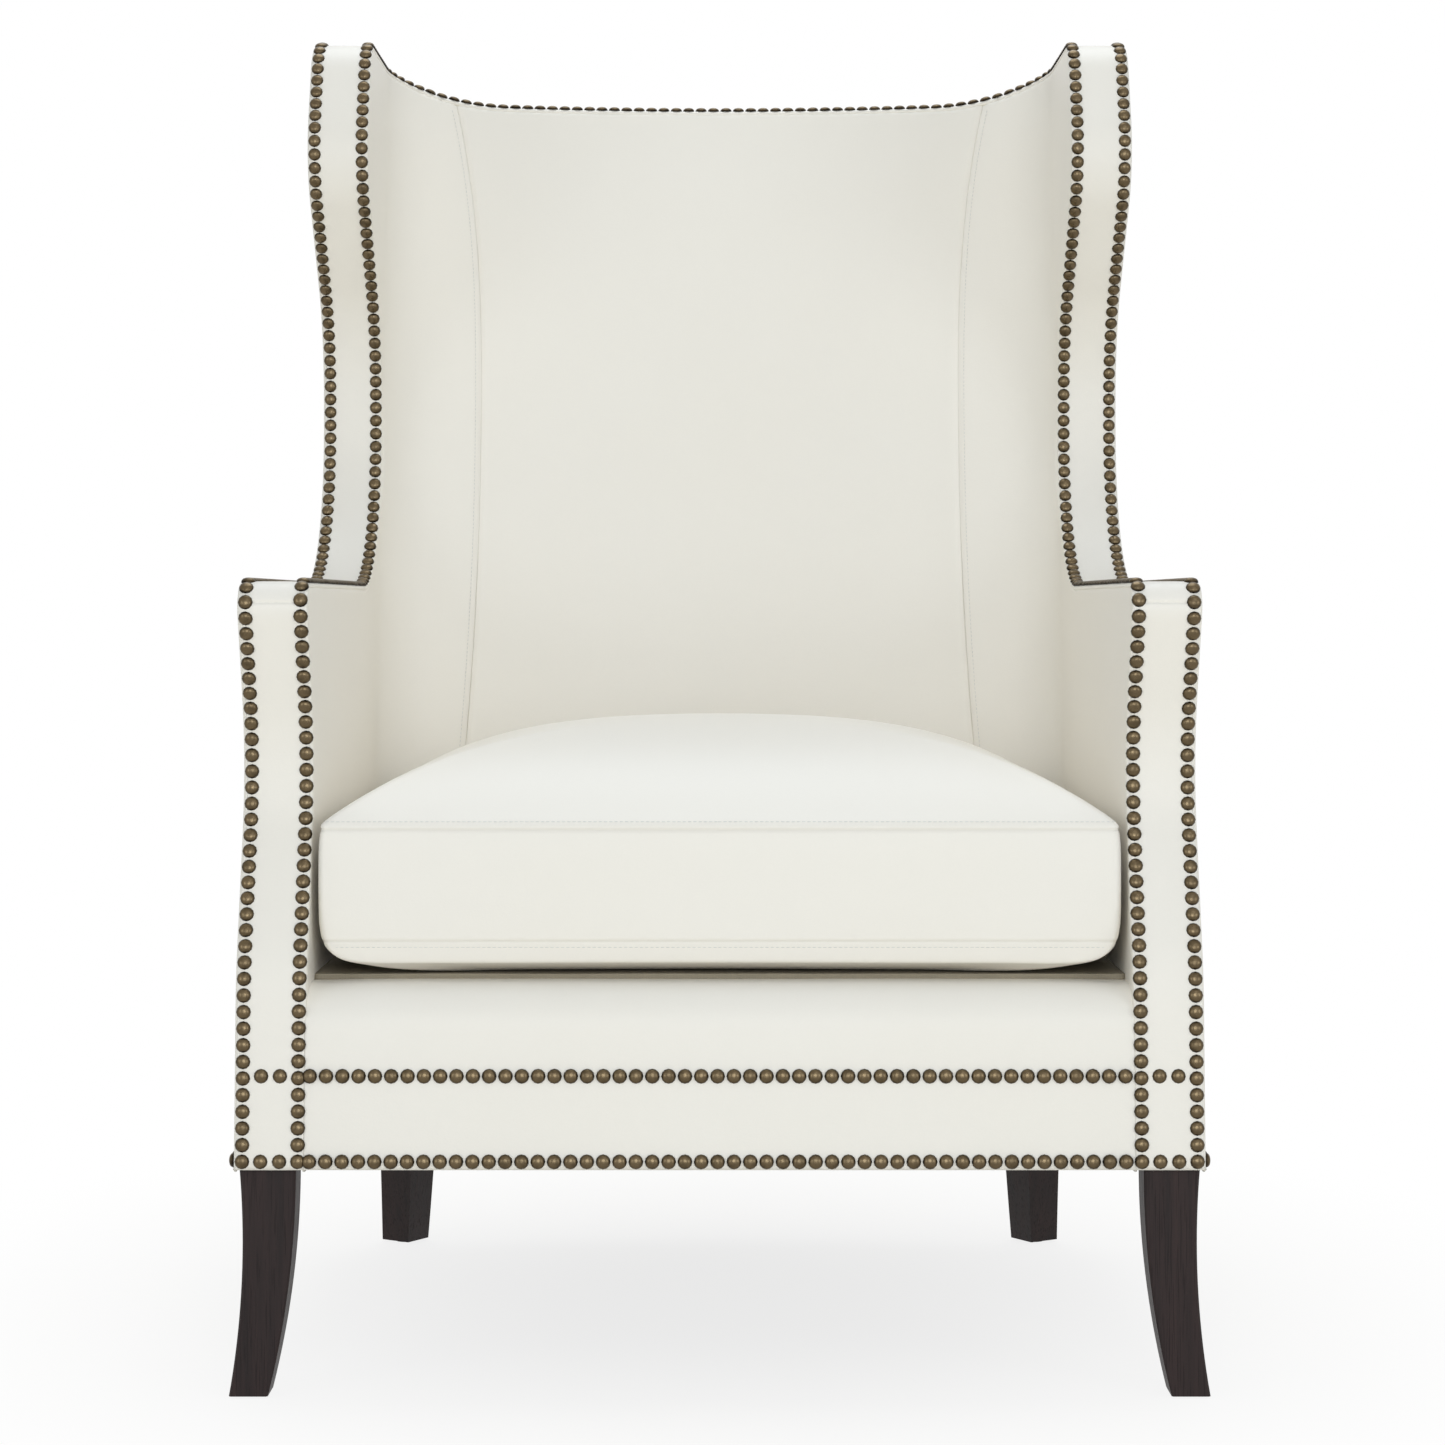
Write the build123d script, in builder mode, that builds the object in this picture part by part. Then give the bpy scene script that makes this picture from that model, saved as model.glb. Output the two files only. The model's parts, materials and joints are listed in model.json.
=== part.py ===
"""Wing chair in leather: timber frame, padding, leather covers, legs and a loose seat cushion.

Millimetres. X runs to the right as seen from the front, Y to the back, Z up.
The origin is on the floor under the middle of the chair.
"""

import math
import os

from build123d import *

os.makedirs("parts", exist_ok=True)

# Overall sizes
WIDTH = 766.0
DEPTH = 830.0
LEG_HEIGHT = 182.0
ARM_HEIGHT = 645.0
CREST_HEIGHT = 1128.0
WALL = 56.0
CREST_WALL = 58.0

# Values that follow from the overall sizes
HALF = WIDTH / 2
INNER_HALF = HALF - WALL
FRONT = -DEPTH / 2

# Crest: its level part stops short of the sides, and a curve takes it up to the ears
CREST_SIDE = 170.0
CREST_CURVE = 250.0
CREST_LEVEL = HALF - CREST_SIDE

# Side outline from the leg to the ear: distances from the front or the back, and heights
KNEE_BACK = 12.0
KNEE_RISE = 153.0
HOLLOW_BACK = 70.0
HOLLOW_RISE = 10.0
NOSE_BACK = 9.0
WAIST_DEPTH = 217.0
EAR_DEPTH = 361.0
EAR_DROP = 92.0
EAR_TOP_DEPTH = 311.0
EAR_TOP_RISE = 28.5

# Turns of the side outline, and their rounding
KNEE = (KNEE_BACK, LEG_HEIGHT + KNEE_RISE)
HOLLOW = (HOLLOW_BACK, (KNEE[1] + ARM_HEIGHT) / 2 + HOLLOW_RISE)
WAIST = (DEPTH - WAIST_DEPTH, (ARM_HEIGHT + CREST_HEIGHT) / 2)
EAR = (DEPTH - EAR_DEPTH, CREST_HEIGHT - EAR_DROP)
EAR_TOP = (DEPTH - EAR_TOP_DEPTH, CREST_HEIGHT + EAR_TOP_RISE)
KNEE_RADIUS = 200.0
HOLLOW_RADIUS = 150.0
NOSE_RADIUS = 20.0
SWEEP_CLEAR = 86.5
SWEEP_RADIUS = WAIST[1] - ARM_HEIGHT - SWEEP_CLEAR
WAIST_RADIUS = 150.0
EAR_RADIUS = 75.0
EAR_TOP_RADIUS = 46.0

# Plan of the shell: rake of its back in degrees, bow of the back and rounding of the corners
OUTER_RAKE = 6.5
OUTER_BOW = 1150.0
OUTER_CORNER = 105.0
INNER_RAKE = 11.5
INNER_BOW = 960.0
INNER_CORNER = 65.0

# Layers, from the cover inwards
LEATHER = 2.0
EDGE_PAD = 4.0
LINER = 3.0
SIDE_PAD = 20.0
TIMBER = 30.0
STRAP = 1.6
TIMBER_GAP = 0.3
EASE = 0.3

# Seams between covers: distances in from the sitting space's side or from the chair's side
INSIDE_SEAM_IN = 77.0
OUTSIDE_SEAM_IN = 113.0
BAND_SEAM_IN = 93.0
INSIDE_SEAM = INNER_HALF - INSIDE_SEAM_IN
OUTSIDE_SEAM = HALF - OUTSIDE_SEAM_IN
BAND_SEAM = HALF - BAND_SEAM_IN

# Seat
RAIL_HEIGHT = 106.0
DECK_RISE = 149.0
DECK_HEIGHT = LEG_HEIGHT + DECK_RISE
EDGE_ROLL = 61.0
EDGE_ROLL_RADIUS = 38.0
INSIDE_TUCK = 29.0
INSIDE_BOTTOM = DECK_HEIGHT - INSIDE_TUCK
SEAT_STRAP_WIDTH = 60.0
BACK_STRAP_WIDTH = 50.0

# Front legs: distances in from the chair's side of the inner and the outer edge
FRONT_LEG_DEPTH = 36.0
FRONT_LEG_TOP_IN = (48.2, 3.6)
FRONT_LEG_WAIST_IN = (44.7, 6.0)
FRONT_LEG_FOOT_IN = (26.1, -4.7)
LEG_WAIST_DROP = 72.8
FRONT_LEG_TOP = tuple(HALF - inward for inward in FRONT_LEG_TOP_IN)
FRONT_LEG_WAIST = tuple(HALF - inward for inward in FRONT_LEG_WAIST_IN)
FRONT_LEG_FOOT = tuple(HALF - inward for inward in FRONT_LEG_FOOT_IN)

# Rear legs: widths, turn in degrees, distances in from the chair's side and from its back
REAR_LEG_TOP = 44.0
REAR_LEG_FOOT = 32.0
REAR_LEG_TURN = 33.0
REAR_LEG_TOP_IN = (79.5, 184.0)
REAR_LEG_FOOT_IN = (72.6, 146.0)
REAR_LEG_TOP_AT = (HALF - REAR_LEG_TOP_IN[0], DEPTH - REAR_LEG_TOP_IN[1])
REAR_LEG_FOOT_AT = (HALF - REAR_LEG_FOOT_IN[0], DEPTH - REAR_LEG_FOOT_IN[1])

# Glides, bolts and inserts
GLIDE_RADIUS = 9.0
GLIDE_HEIGHT = 2.0
GLIDE_PIN_RADIUS = 1.5
GLIDE_PIN = 16.0
BOLT_RADIUS = 4.0
BOLT_LENGTH = 58.0
INSERT_RADIUS = 6.0
INSERT_LENGTH = 28.0
BORE_EASE = 0.1

# Seat cushion
CUSHION_FRONT = 64.0
CUSHION_GAP = 2.5
CUSHION_SEAM_RISE = 22.5
CUSHION_BOXING = 91.5
CUSHION_SEAM_LOW = DECK_HEIGHT + CUSHION_SEAM_RISE
CUSHION_SEAM_HIGH = CUSHION_SEAM_LOW + CUSHION_BOXING
CUSHION_CROWN = 84.0
CUSHION_CORNER = 14.0
CUSHION_DRAW = 5.0
CROWN_POWER = 3.2
BELLY_POWER = 20.0
CORE_INSET = 45.0
ZIP_LENGTH = 400.0
ZIP_WIDTH = 24.0
ZIP_TAPE = 1.2
ZIP_SLIDER = (14.0, 9.0, 4.0)

# Values worked out from the layers
FRAME_BOTTOM = LEG_HEIGHT + LEATHER
RAIL_TOP = FRAME_BOTTOM + RAIL_HEIGHT
TIMBER_OUT = LEATHER + LINER
TIMBER_IN = INNER_HALF + LEATHER
EDGE_COVER = LEATHER + EDGE_PAD
TIMBER_EDGE = EDGE_COVER + TIMBER
PAD_BACK = LEATHER + SIDE_PAD
BACK_TIMBER = PAD_BACK + STRAP + 2 * TIMBER_GAP
REACH = 60.0
BLOCK_TOP = EAR_TOP[1] + REACH
INNER_BACK = FRONT + DEPTH - CREST_WALL
INNER_LEAN = math.tan(math.radians(INNER_RAKE))
OUTER_LEAN = math.tan(math.radians(OUTER_RAKE))


def behind(distance):
    """Y of a place given by its distance behind the chair's front."""
    return FRONT + distance


def span(x, y, z, mode=Mode.ADD):
    """Box between a lowest and a highest value on each axis."""
    with Locations([tuple((low + high) / 2 for low, high in (x, y, z))]):
        Box(x[1] - x[0], y[1] - y[0], z[1] - z[0], mode=mode)


def keep(part, label):
    """Name a finished piece and write it out."""
    part.label = label
    export_step(part, f"parts/{label}.step")


def keep_pair(part, label):
    """Write a right-hand piece and its left-hand mirror image."""
    with BuildPart() as other:
        mirror(part, about=Plane.YZ)
    keep(part, f"{label}_right")
    keep(other.part, f"{label}_left")


def side_block(inset):
    """Solid inside the chair's side outline, with the edge drawn in by inset."""
    front_slope = KNEE[0] / (KNEE[1] - LEG_HEIGHT)
    turns = [
        (-front_slope * REACH, LEG_HEIGHT - REACH),
        KNEE,
        HOLLOW,
        (NOSE_BACK, ARM_HEIGHT),
        (WAIST[0], ARM_HEIGHT),
        WAIST,
        EAR,
        EAR_TOP,
        (DEPTH + REACH, EAR_TOP[1]),
    ]
    radii = [
        KNEE_RADIUS,
        HOLLOW_RADIUS,
        NOSE_RADIUS,
        SWEEP_RADIUS,
        WAIST_RADIUS,
        EAR_RADIUS,
        EAR_TOP_RADIUS,
    ]
    with BuildPart() as block:
        with BuildSketch(Plane.YZ):
            with BuildLine():
                edge = FilletPolyline([(behind(y), z) for y, z in turns], radius=radii)
                Polyline(edge @ 1, (behind(DEPTH + REACH), LEG_HEIGHT - REACH), edge @ 0)
            make_face()
            if inset:
                offset(amount=-inset, kind=Kind.INTERSECTION)
        extrude(amount=HALF + REACH, both=True)
        with BuildSketch(Plane.XZ):
            with BuildLine():
                run = HALF - CREST_LEVEL
                ear_z = CREST_HEIGHT + CREST_CURVE - math.sqrt(CREST_CURVE**2 - run**2)
                level = Line((-CREST_LEVEL, CREST_HEIGHT), (CREST_LEVEL, CREST_HEIGHT))
                right = TangentArc(level @ 1, (HALF, ear_z), tangent=(1, 0))
                left = TangentArc(level @ 0, (-HALF, ear_z), tangent=(-1, 0))
                Polyline(
                    right @ 1,
                    (HALF + REACH, ear_z),
                    (HALF + REACH, 0),
                    (-HALF - REACH, 0),
                    (-HALF - REACH, ear_z),
                    left @ 1,
                )
            make_face()
            if inset:
                offset(amount=-inset, kind=Kind.INTERSECTION)
        extrude(amount=2 * DEPTH, both=True, mode=Mode.INTERSECT)
    return block.part


def raked_block(half, back, bow, corner, lean, grow):
    """Upright block open to the front, whose bowed back leans; grow swells its sides and back."""
    foot_back = back - lean * (CREST_HEIGHT - LEG_HEIGHT)
    drop = bow - math.sqrt(bow**2 - half**2)
    far_front = behind(-DEPTH / 2)
    rise = BLOCK_TOP - LEG_HEIGHT
    with BuildPart() as block:
        with BuildSketch(Plane.XY.offset(LEG_HEIGHT)) as plan:
            with BuildLine():
                sides = Polyline(
                    (half, foot_back - drop),
                    (half, far_front),
                    (-half, far_front),
                    (-half, foot_back - drop),
                )
                ThreePointArc(sides @ 1, (0, foot_back), sides @ 0)
            make_face()
            fillet(plan.vertices().sort_by(Axis.Y)[-2:], corner)
            if grow:
                offset(amount=grow, kind=Kind.INTERSECTION)
        extrude(amount=rise * math.hypot(1, lean), dir=(0, lean, 1))
    return block.part


def outer_block(inset):
    """Block inside the chair's outer faces, drawn in by inset."""
    return raked_block(HALF, FRONT + DEPTH, OUTER_BOW, OUTER_CORNER, OUTER_LEAN, -inset)


def inner_block(grow):
    """Block of the sitting space, swelled by grow."""
    return raked_block(INNER_HALF, INNER_BACK, INNER_BOW, INNER_CORNER, INNER_LEAN, grow)


def border_block(inset):
    """Solid of the seat's front with its rounded top edge, drawn in by inset."""
    slope = KNEE[0] / (KNEE[1] - LEG_HEIGHT)
    top = DECK_HEIGHT - inset
    low = LEG_HEIGHT - REACH
    with BuildPart() as block:
        with BuildSketch(Plane.YZ):
            with BuildLine():
                face = FilletPolyline(
                    (behind(slope * (low - LEG_HEIGHT) + inset), low),
                    (behind(slope * (top - LEG_HEIGHT) + inset), top),
                    (behind(2 * EDGE_ROLL), top),
                    radius=[EDGE_ROLL_RADIUS - inset],
                )
                Polyline(face @ 1, (behind(2 * EDGE_ROLL), low), face @ 0)
            make_face()
        extrude(amount=INNER_HALF - TIMBER_GAP, both=True)
    return block.part


def common(blocks, cuts, x, y, z):
    """Piece inside all the blocks and the given spans, less the cuts."""
    with BuildPart() as piece:
        add(blocks[0])
        for block in blocks[1:]:
            add(block, mode=Mode.INTERSECT)
        span(x, y, z, mode=Mode.INTERSECT)
        for cut in cuts:
            add(cut, mode=Mode.SUBTRACT)
    return piece.part


# Spans that leave a direction free
ALL_Y = (-DEPTH, DEPTH)
ALL_Z = (LEG_HEIGHT, BLOCK_TOP)
COVER_Z = (FRAME_BOTTOM, BLOCK_TOP)
INSIDE_Z = (INSIDE_BOTTOM, BLOCK_TOP)

# Shells of the body, from which every cover, pad and timber is cut
edge_skin = side_block(0)
edge_under = side_block(LEATHER)
edge_timber = side_block(EDGE_COVER)
edge_window = side_block(TIMBER_EDGE)
edge_back = side_block(TIMBER_EDGE + TIMBER_GAP)
outer_skin = outer_block(0)
outer_under = outer_block(LEATHER)
outer_timber = outer_block(TIMBER_OUT)
space = inner_block(0)
space_under = inner_block(LEATHER)
space_pad = inner_block(PAD_BACK)
space_timber = inner_block(BACK_TIMBER)

# Leather band along the front of the arms, the wings and the crest
SIDE_BAND_X = (BAND_SEAM, WIDTH)
CREST_BAND_X = (-BAND_SEAM, BAND_SEAM)
band_side = common([outer_skin, edge_skin], [space, edge_under], SIDE_BAND_X, ALL_Y, ALL_Z)
band_crest = common([outer_skin, edge_skin], [space, edge_under], CREST_BAND_X, ALL_Y, ALL_Z)
keep_pair(band_side, "edge_band")
keep(band_crest, "crest_band")

# Outside covers
OUTSIDE_X = (OUTSIDE_SEAM, WIDTH)
REAR_X = (-OUTSIDE_SEAM, OUTSIDE_SEAM)
outside_side = common([outer_skin, edge_under], [outer_under], OUTSIDE_X, ALL_Y, ALL_Z)
outside_rear = common([outer_skin, edge_under], [outer_under], REAR_X, ALL_Y, ALL_Z)
keep_pair(outside_side, "outside_cover")
keep(outside_rear, "outside_back_cover")

# Inside covers
INSIDE_X = (INSIDE_SEAM, WIDTH)
INSIDE_BACK_X = (-INSIDE_SEAM, INSIDE_SEAM)
inside_side = common([space_under, edge_under], [space], INSIDE_X, ALL_Y, INSIDE_Z)
inside_rear = common([space_under, edge_under], [space], INSIDE_BACK_X, ALL_Y, INSIDE_Z)
keep_pair(inside_side, "inside_cover")
keep(inside_rear, "inside_back_cover")

# Thin padding under the band
pad_side = common([outer_under, edge_under], [space_under, edge_timber], SIDE_BAND_X, ALL_Y, COVER_Z)
pad_crest = common([outer_under, edge_under], [space_under, edge_timber], CREST_BAND_X, ALL_Y, COVER_Z)
keep_pair(pad_side, "edge_padding")
keep(pad_crest, "crest_padding")

# Stiff liners behind the outside covers
liner_side = common([outer_under, edge_timber], [outer_timber], OUTSIDE_X, ALL_Y, COVER_Z)
liner_rear = common([outer_under, edge_timber], [outer_timber], REAR_X, ALL_Y, COVER_Z)
keep_pair(liner_side, "outside_liner")
keep(liner_rear, "back_liner")

# Edge timbers of each side: front post, arm rail, wing post and wing top rail
ARM_UNDER = ARM_HEIGHT - TIMBER_EDGE
SWEEP_START = WAIST[0] - SWEEP_RADIUS
WING_TOP_SPLIT = EAR_TOP[0] + EAR_TOP_RADIUS
TIMBER_X = (TIMBER_IN, HALF - TIMBER_OUT)
timber_blocks = [outer_timber, edge_timber]
post_z = (FRAME_BOTTOM, ARM_UNDER)
arm_y = (FRONT, behind(SWEEP_START))
arm_z = (ARM_UNDER, ARM_HEIGHT)
wing_y = (behind(SWEEP_START), behind(DEPTH))
wing_z = (ARM_UNDER, BLOCK_TOP)
top_y = (behind(WING_TOP_SPLIT), behind(DEPTH))
top_z = (EAR[1], BLOCK_TOP)
front_post = common(timber_blocks, [edge_window], TIMBER_X, arm_y, post_z)
arm_rail = common(timber_blocks, [edge_window], TIMBER_X, arm_y, arm_z)
wing_top_rail = common(timber_blocks, [edge_window], TIMBER_X, top_y, top_z)
wing_post = common(timber_blocks, [edge_window, wing_top_rail], TIMBER_X, wing_y, wing_z)

# Side pads, back pad and the straps that carry the back pad
pad_cuts = [space_under, arm_rail, wing_post, wing_top_rail, front_post]
side_pad = common([space_pad, edge_timber], pad_cuts, INSIDE_X, ALL_Y, INSIDE_Z)
back_pad = common([space_pad, edge_timber], [space_under], INSIDE_BACK_X, ALL_Y, INSIDE_Z)
keep_pair(side_pad, "side_pad")
keep(back_pad, "back_pad")

# Back timbers: uprights, crest rail, lumbar rail and bottom rail
UPRIGHT_IN_BY = 7.0
UPRIGHT_X = (INNER_HALF - UPRIGHT_IN_BY - TIMBER, INNER_HALF - UPRIGHT_IN_BY)
CREST_RAIL = 34.0
LUMBAR_RISE = 41.0
LUMBAR_HEIGHT = 60.0
LUMBAR_Z = (DECK_HEIGHT + LUMBAR_RISE, DECK_HEIGHT + LUMBAR_RISE + LUMBAR_HEIGHT)
BACK_RAIL = 28.0
UPRIGHT_IN = (-UPRIGHT_X[0] + TIMBER_GAP, UPRIGHT_X[0] - TIMBER_GAP)
edge_crest = side_block(EDGE_COVER + CREST_RAIL)
edge_upright = side_block(EDGE_COVER + CREST_RAIL + TIMBER_GAP)
outer_rail = outer_block(TIMBER_OUT + BACK_RAIL)
space_lumbar = inner_block(BACK_TIMBER + BACK_RAIL)
upright = common([outer_timber, edge_upright], [space_timber], UPRIGHT_X, ALL_Y, COVER_Z)
CREST_X = (-TIMBER_IN + TIMBER_GAP, TIMBER_IN - TIMBER_GAP)
CREST_Z = (EAR[1], BLOCK_TOP)
crest_rail = common([outer_timber, edge_timber], [space_timber, edge_crest], CREST_X, ALL_Y, CREST_Z)
lumbar_rail = common([space_lumbar], [space_timber], UPRIGHT_IN, (0, DEPTH), LUMBAR_Z)
rail_z = (FRAME_BOTTOM, RAIL_TOP)
back_rail = common([outer_timber], [outer_rail], UPRIGHT_IN, (0, DEPTH), rail_z)
keep(crest_rail, "crest_rail")
keep(lumbar_rail, "lumbar_rail")
keep(back_rail, "back_rail")

# Seat timbers: front rail, side rails and corner blocks
SIDE_RAIL_X = (HALF - TIMBER_OUT - BACK_RAIL, HALF - TIMBER_OUT)
SIDE_RAIL_SHORT = 190.0
SIDE_RAIL_END = DEPTH - SIDE_RAIL_SHORT
BLOCK_LEG = 74.0
BLOCK_LOW = 6.0
BLOCK_THICK = 45.0
BLOCK_Z = (FRAME_BOTTOM + BLOCK_LOW, FRAME_BOTTOM + BLOCK_LOW + BLOCK_THICK)
rail_x = (-TIMBER_IN + TIMBER_GAP, TIMBER_IN - TIMBER_GAP)
side_rail_y = (FRONT, behind(SIDE_RAIL_END))
front_rail = common([edge_timber], [edge_window], rail_x, (FRONT, 0), rail_z)
side_rail = common([outer_timber, edge_back], [], SIDE_RAIL_X, side_rail_y, rail_z)
keep(front_rail, "front_rail")
keep_pair(side_rail, "side_rail")

BLOCK_FRONT = behind(TIMBER_EDGE)
BLOCK_EDGE = SIDE_RAIL_X[0] - TIMBER_GAP
with BuildPart() as corner_blocks:
    with BuildSketch(Plane.XY.offset(BLOCK_Z[0])):
        with BuildLine():
            Polyline(
                (BLOCK_EDGE, BLOCK_FRONT),
                (BLOCK_EDGE, BLOCK_FRONT + BLOCK_LEG),
                (BLOCK_EDGE - BLOCK_LEG, BLOCK_FRONT),
                close=True,
            )
        make_face()
    extrude(amount=BLOCK_Z[1] - BLOCK_Z[0])
    add(edge_back, mode=Mode.INTERSECT)
    rear_x = (UPRIGHT_X[1] + TIMBER_GAP, BLOCK_EDGE)
    rear_y = (behind(SIDE_RAIL_END - 2 * BLOCK_LEG), behind(SIDE_RAIL_END - BLOCK_LEG / 2))
    span(rear_x, rear_y, BLOCK_Z)
    mirror(about=Plane.YZ)
keep(corner_blocks.part, "corner_blocks")

# Inserts pressed into the frame and bolts that hold the legs
BOLT_FRONT = (sum(FRONT_LEG_TOP) / 2, behind(EDGE_COVER + TIMBER / 2))
BOLT_REAR = (sum(UPRIGHT_X) / 2, behind(REAR_LEG_TOP_AT[1]))
BOLT_BOTTOM = FRAME_BOTTOM + INSERT_LENGTH - BOLT_LENGTH
BOLT_PLACES = [(side * x, y) for x, y in (BOLT_FRONT, BOLT_REAR) for side in (1, -1)]


def bore(part, radius, bottom, top):
    """Piece with the leg bolts' holes drilled between two heights."""
    with BuildPart() as drilled:
        add(part)
        with BuildSketch(Plane.XY.offset(bottom)):
            with Locations(BOLT_PLACES):
                Circle(radius)
        extrude(amount=top - bottom, mode=Mode.SUBTRACT)
    return drilled.part


insert_top = FRAME_BOTTOM + INSERT_LENGTH
front_post = bore(front_post, INSERT_RADIUS + BORE_EASE, FRAME_BOTTOM, insert_top + EASE)
upright = bore(upright, INSERT_RADIUS + BORE_EASE, FRAME_BOTTOM, insert_top + EASE)
keep_pair(front_post, "front_post")
keep_pair(arm_rail, "arm_rail")
keep_pair(wing_post, "wing_post")
keep_pair(wing_top_rail, "wing_top_rail")
keep_pair(upright, "back_upright")

with BuildPart() as leg_inserts:
    with BuildSketch(Plane.XY.offset(FRAME_BOTTOM)):
        with Locations(BOLT_PLACES):
            Circle(INSERT_RADIUS)
            Circle(BOLT_RADIUS + BORE_EASE, mode=Mode.SUBTRACT)
    extrude(amount=INSERT_LENGTH)
keep(leg_inserts.part, "leg_inserts")

with BuildPart() as leg_bolts:
    with BuildSketch(Plane.XY.offset(BOLT_BOTTOM)):
        with Locations(BOLT_PLACES):
            Circle(BOLT_RADIUS)
    extrude(amount=BOLT_LENGTH)
keep(leg_bolts.part, "leg_bolts")

# Front legs, sabre-shaped towards the side
LEG_TOP = FRAME_BOTTOM - TIMBER_GAP
LEG_WAIST = LEG_HEIGHT - LEG_WAIST_DROP
LEG_SET_BACK = 1.0
LEG_FRONT = behind(EDGE_COVER + LEG_SET_BACK)
FRONT_FOOT_AT = (sum(FRONT_LEG_FOOT) / 2, LEG_FRONT + FRONT_LEG_DEPTH / 2)
REAR_FOOT_AT = (REAR_LEG_FOOT_AT[0], behind(REAR_LEG_FOOT_AT[1]))
LEG_EDGE = 1.5
with BuildPart() as front_leg_blank:
    with BuildSketch(Plane.XZ.offset(-LEG_FRONT)):
        with BuildLine():
            inner = ThreePointArc(
                (FRONT_LEG_TOP[0], LEG_TOP),
                (FRONT_LEG_WAIST[0], LEG_WAIST),
                (FRONT_LEG_FOOT[0], GLIDE_HEIGHT),
            )
            outer = ThreePointArc(
                (FRONT_LEG_FOOT[1], GLIDE_HEIGHT),
                (FRONT_LEG_WAIST[1], LEG_WAIST),
                (FRONT_LEG_TOP[1], LEG_TOP),
            )
            Line(inner @ 1, outer @ 0)
            Line(outer @ 1, inner @ 0)
        make_face()
    extrude(amount=-FRONT_LEG_DEPTH)
    corners = front_leg_blank.edges().filter_by(GeomType.CIRCLE)
    chamfer(corners, LEG_EDGE)

# Rear legs, square, turned to the rounded corner and raked to the back
LEG_HEIGHTS = (GLIDE_HEIGHT, LEG_HEIGHT / 2, LEG_TOP)
RAKE_CURVE = 0.36
with BuildPart() as rear_leg_blank:
    for height, share in zip(LEG_HEIGHTS, (0.0, 1 - RAKE_CURVE, 1.0)):
        rise = (height - LEG_HEIGHTS[0]) / (LEG_HEIGHTS[2] - LEG_HEIGHTS[0])
        width = REAR_LEG_FOOT + (REAR_LEG_TOP - REAR_LEG_FOOT) * rise
        middle_x = REAR_LEG_FOOT_AT[0] + (REAR_LEG_TOP_AT[0] - REAR_LEG_FOOT_AT[0]) * share
        middle_y = REAR_LEG_FOOT_AT[1] + (REAR_LEG_TOP_AT[1] - REAR_LEG_FOOT_AT[1]) * share
        with BuildSketch(Plane.XY.offset(height)):
            with Locations((middle_x, behind(middle_y))):
                Rectangle(width, width, rotation=REAR_LEG_TURN)
    loft()


def drill_leg(blank, foot):
    """Leg with its bolt hole in the top and its glide's pin hole in the foot."""
    with BuildPart() as leg:
        add(bore(blank, BOLT_RADIUS + BORE_EASE, BOLT_BOTTOM - EASE, LEG_TOP))
        with BuildSketch(Plane.XY.offset(GLIDE_HEIGHT)):
            with Locations(foot):
                Circle(GLIDE_PIN_RADIUS + BORE_EASE)
        extrude(amount=GLIDE_PIN + EASE, mode=Mode.SUBTRACT)
    return leg.part


front_leg = drill_leg(front_leg_blank.part, FRONT_FOOT_AT)
rear_leg = drill_leg(rear_leg_blank.part, REAR_FOOT_AT)
keep_pair(front_leg, "front_leg")
keep_pair(rear_leg, "rear_leg")

with BuildPart() as glides:
    for foot_x, foot_y in (FRONT_FOOT_AT, REAR_FOOT_AT):
        for side in (1, -1):
            with BuildSketch(Plane.XY):
                with Locations((side * foot_x, foot_y)):
                    Circle(GLIDE_RADIUS)
            extrude(amount=GLIDE_HEIGHT)
            with BuildSketch(Plane.XY.offset(GLIDE_HEIGHT)):
                with Locations((side * foot_x, foot_y)):
                    Circle(GLIDE_PIN_RADIUS)
            extrude(amount=GLIDE_PIN)
keep(glides.part, "leg_glides")

# Seat straps on the rails, back straps behind the back pad
STRAP_LOW = RAIL_TOP + TIMBER_GAP
STRAP_HIGH = STRAP_LOW + STRAP + TIMBER_GAP
STRAP_ENDS = (behind(EDGE_COVER + KNEE[0]), DEPTH)
CROSS_HALF = HALF - TIMBER_OUT - 2 * LEATHER
CROSS_FIRST = 106.0
CROSS_COUNT = 4
CROSS_STEP = (SIDE_RAIL_END - CROSS_FIRST - SEAT_STRAP_WIDTH / 2) / CROSS_COUNT
LONG_MARGIN = 27.0
LONG_COUNT = 5
LONG_STEP = 2 * (INNER_HALF - LONG_MARGIN) / LONG_COUNT
with BuildPart() as long_straps:
    for number in range(LONG_COUNT):
        middle = (number - (LONG_COUNT - 1) / 2) * LONG_STEP
        strap_x = (middle - SEAT_STRAP_WIDTH / 2, middle + SEAT_STRAP_WIDTH / 2)
        span(strap_x, STRAP_ENDS, (STRAP_LOW, STRAP_LOW + STRAP))
    add(outer_timber, mode=Mode.INTERSECT)
keep(long_straps.part, "seat_straps_long")

with BuildPart() as cross_straps:
    for number in range(CROSS_COUNT):
        start = behind(CROSS_FIRST + number * CROSS_STEP)
        strap_y = (start, start + SEAT_STRAP_WIDTH)
        span((-CROSS_HALF, CROSS_HALF), strap_y, (STRAP_HIGH, STRAP_HIGH + STRAP))
    add(outer_timber, mode=Mode.INTERSECT)
keep(cross_straps.part, "seat_straps_cross")

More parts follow.
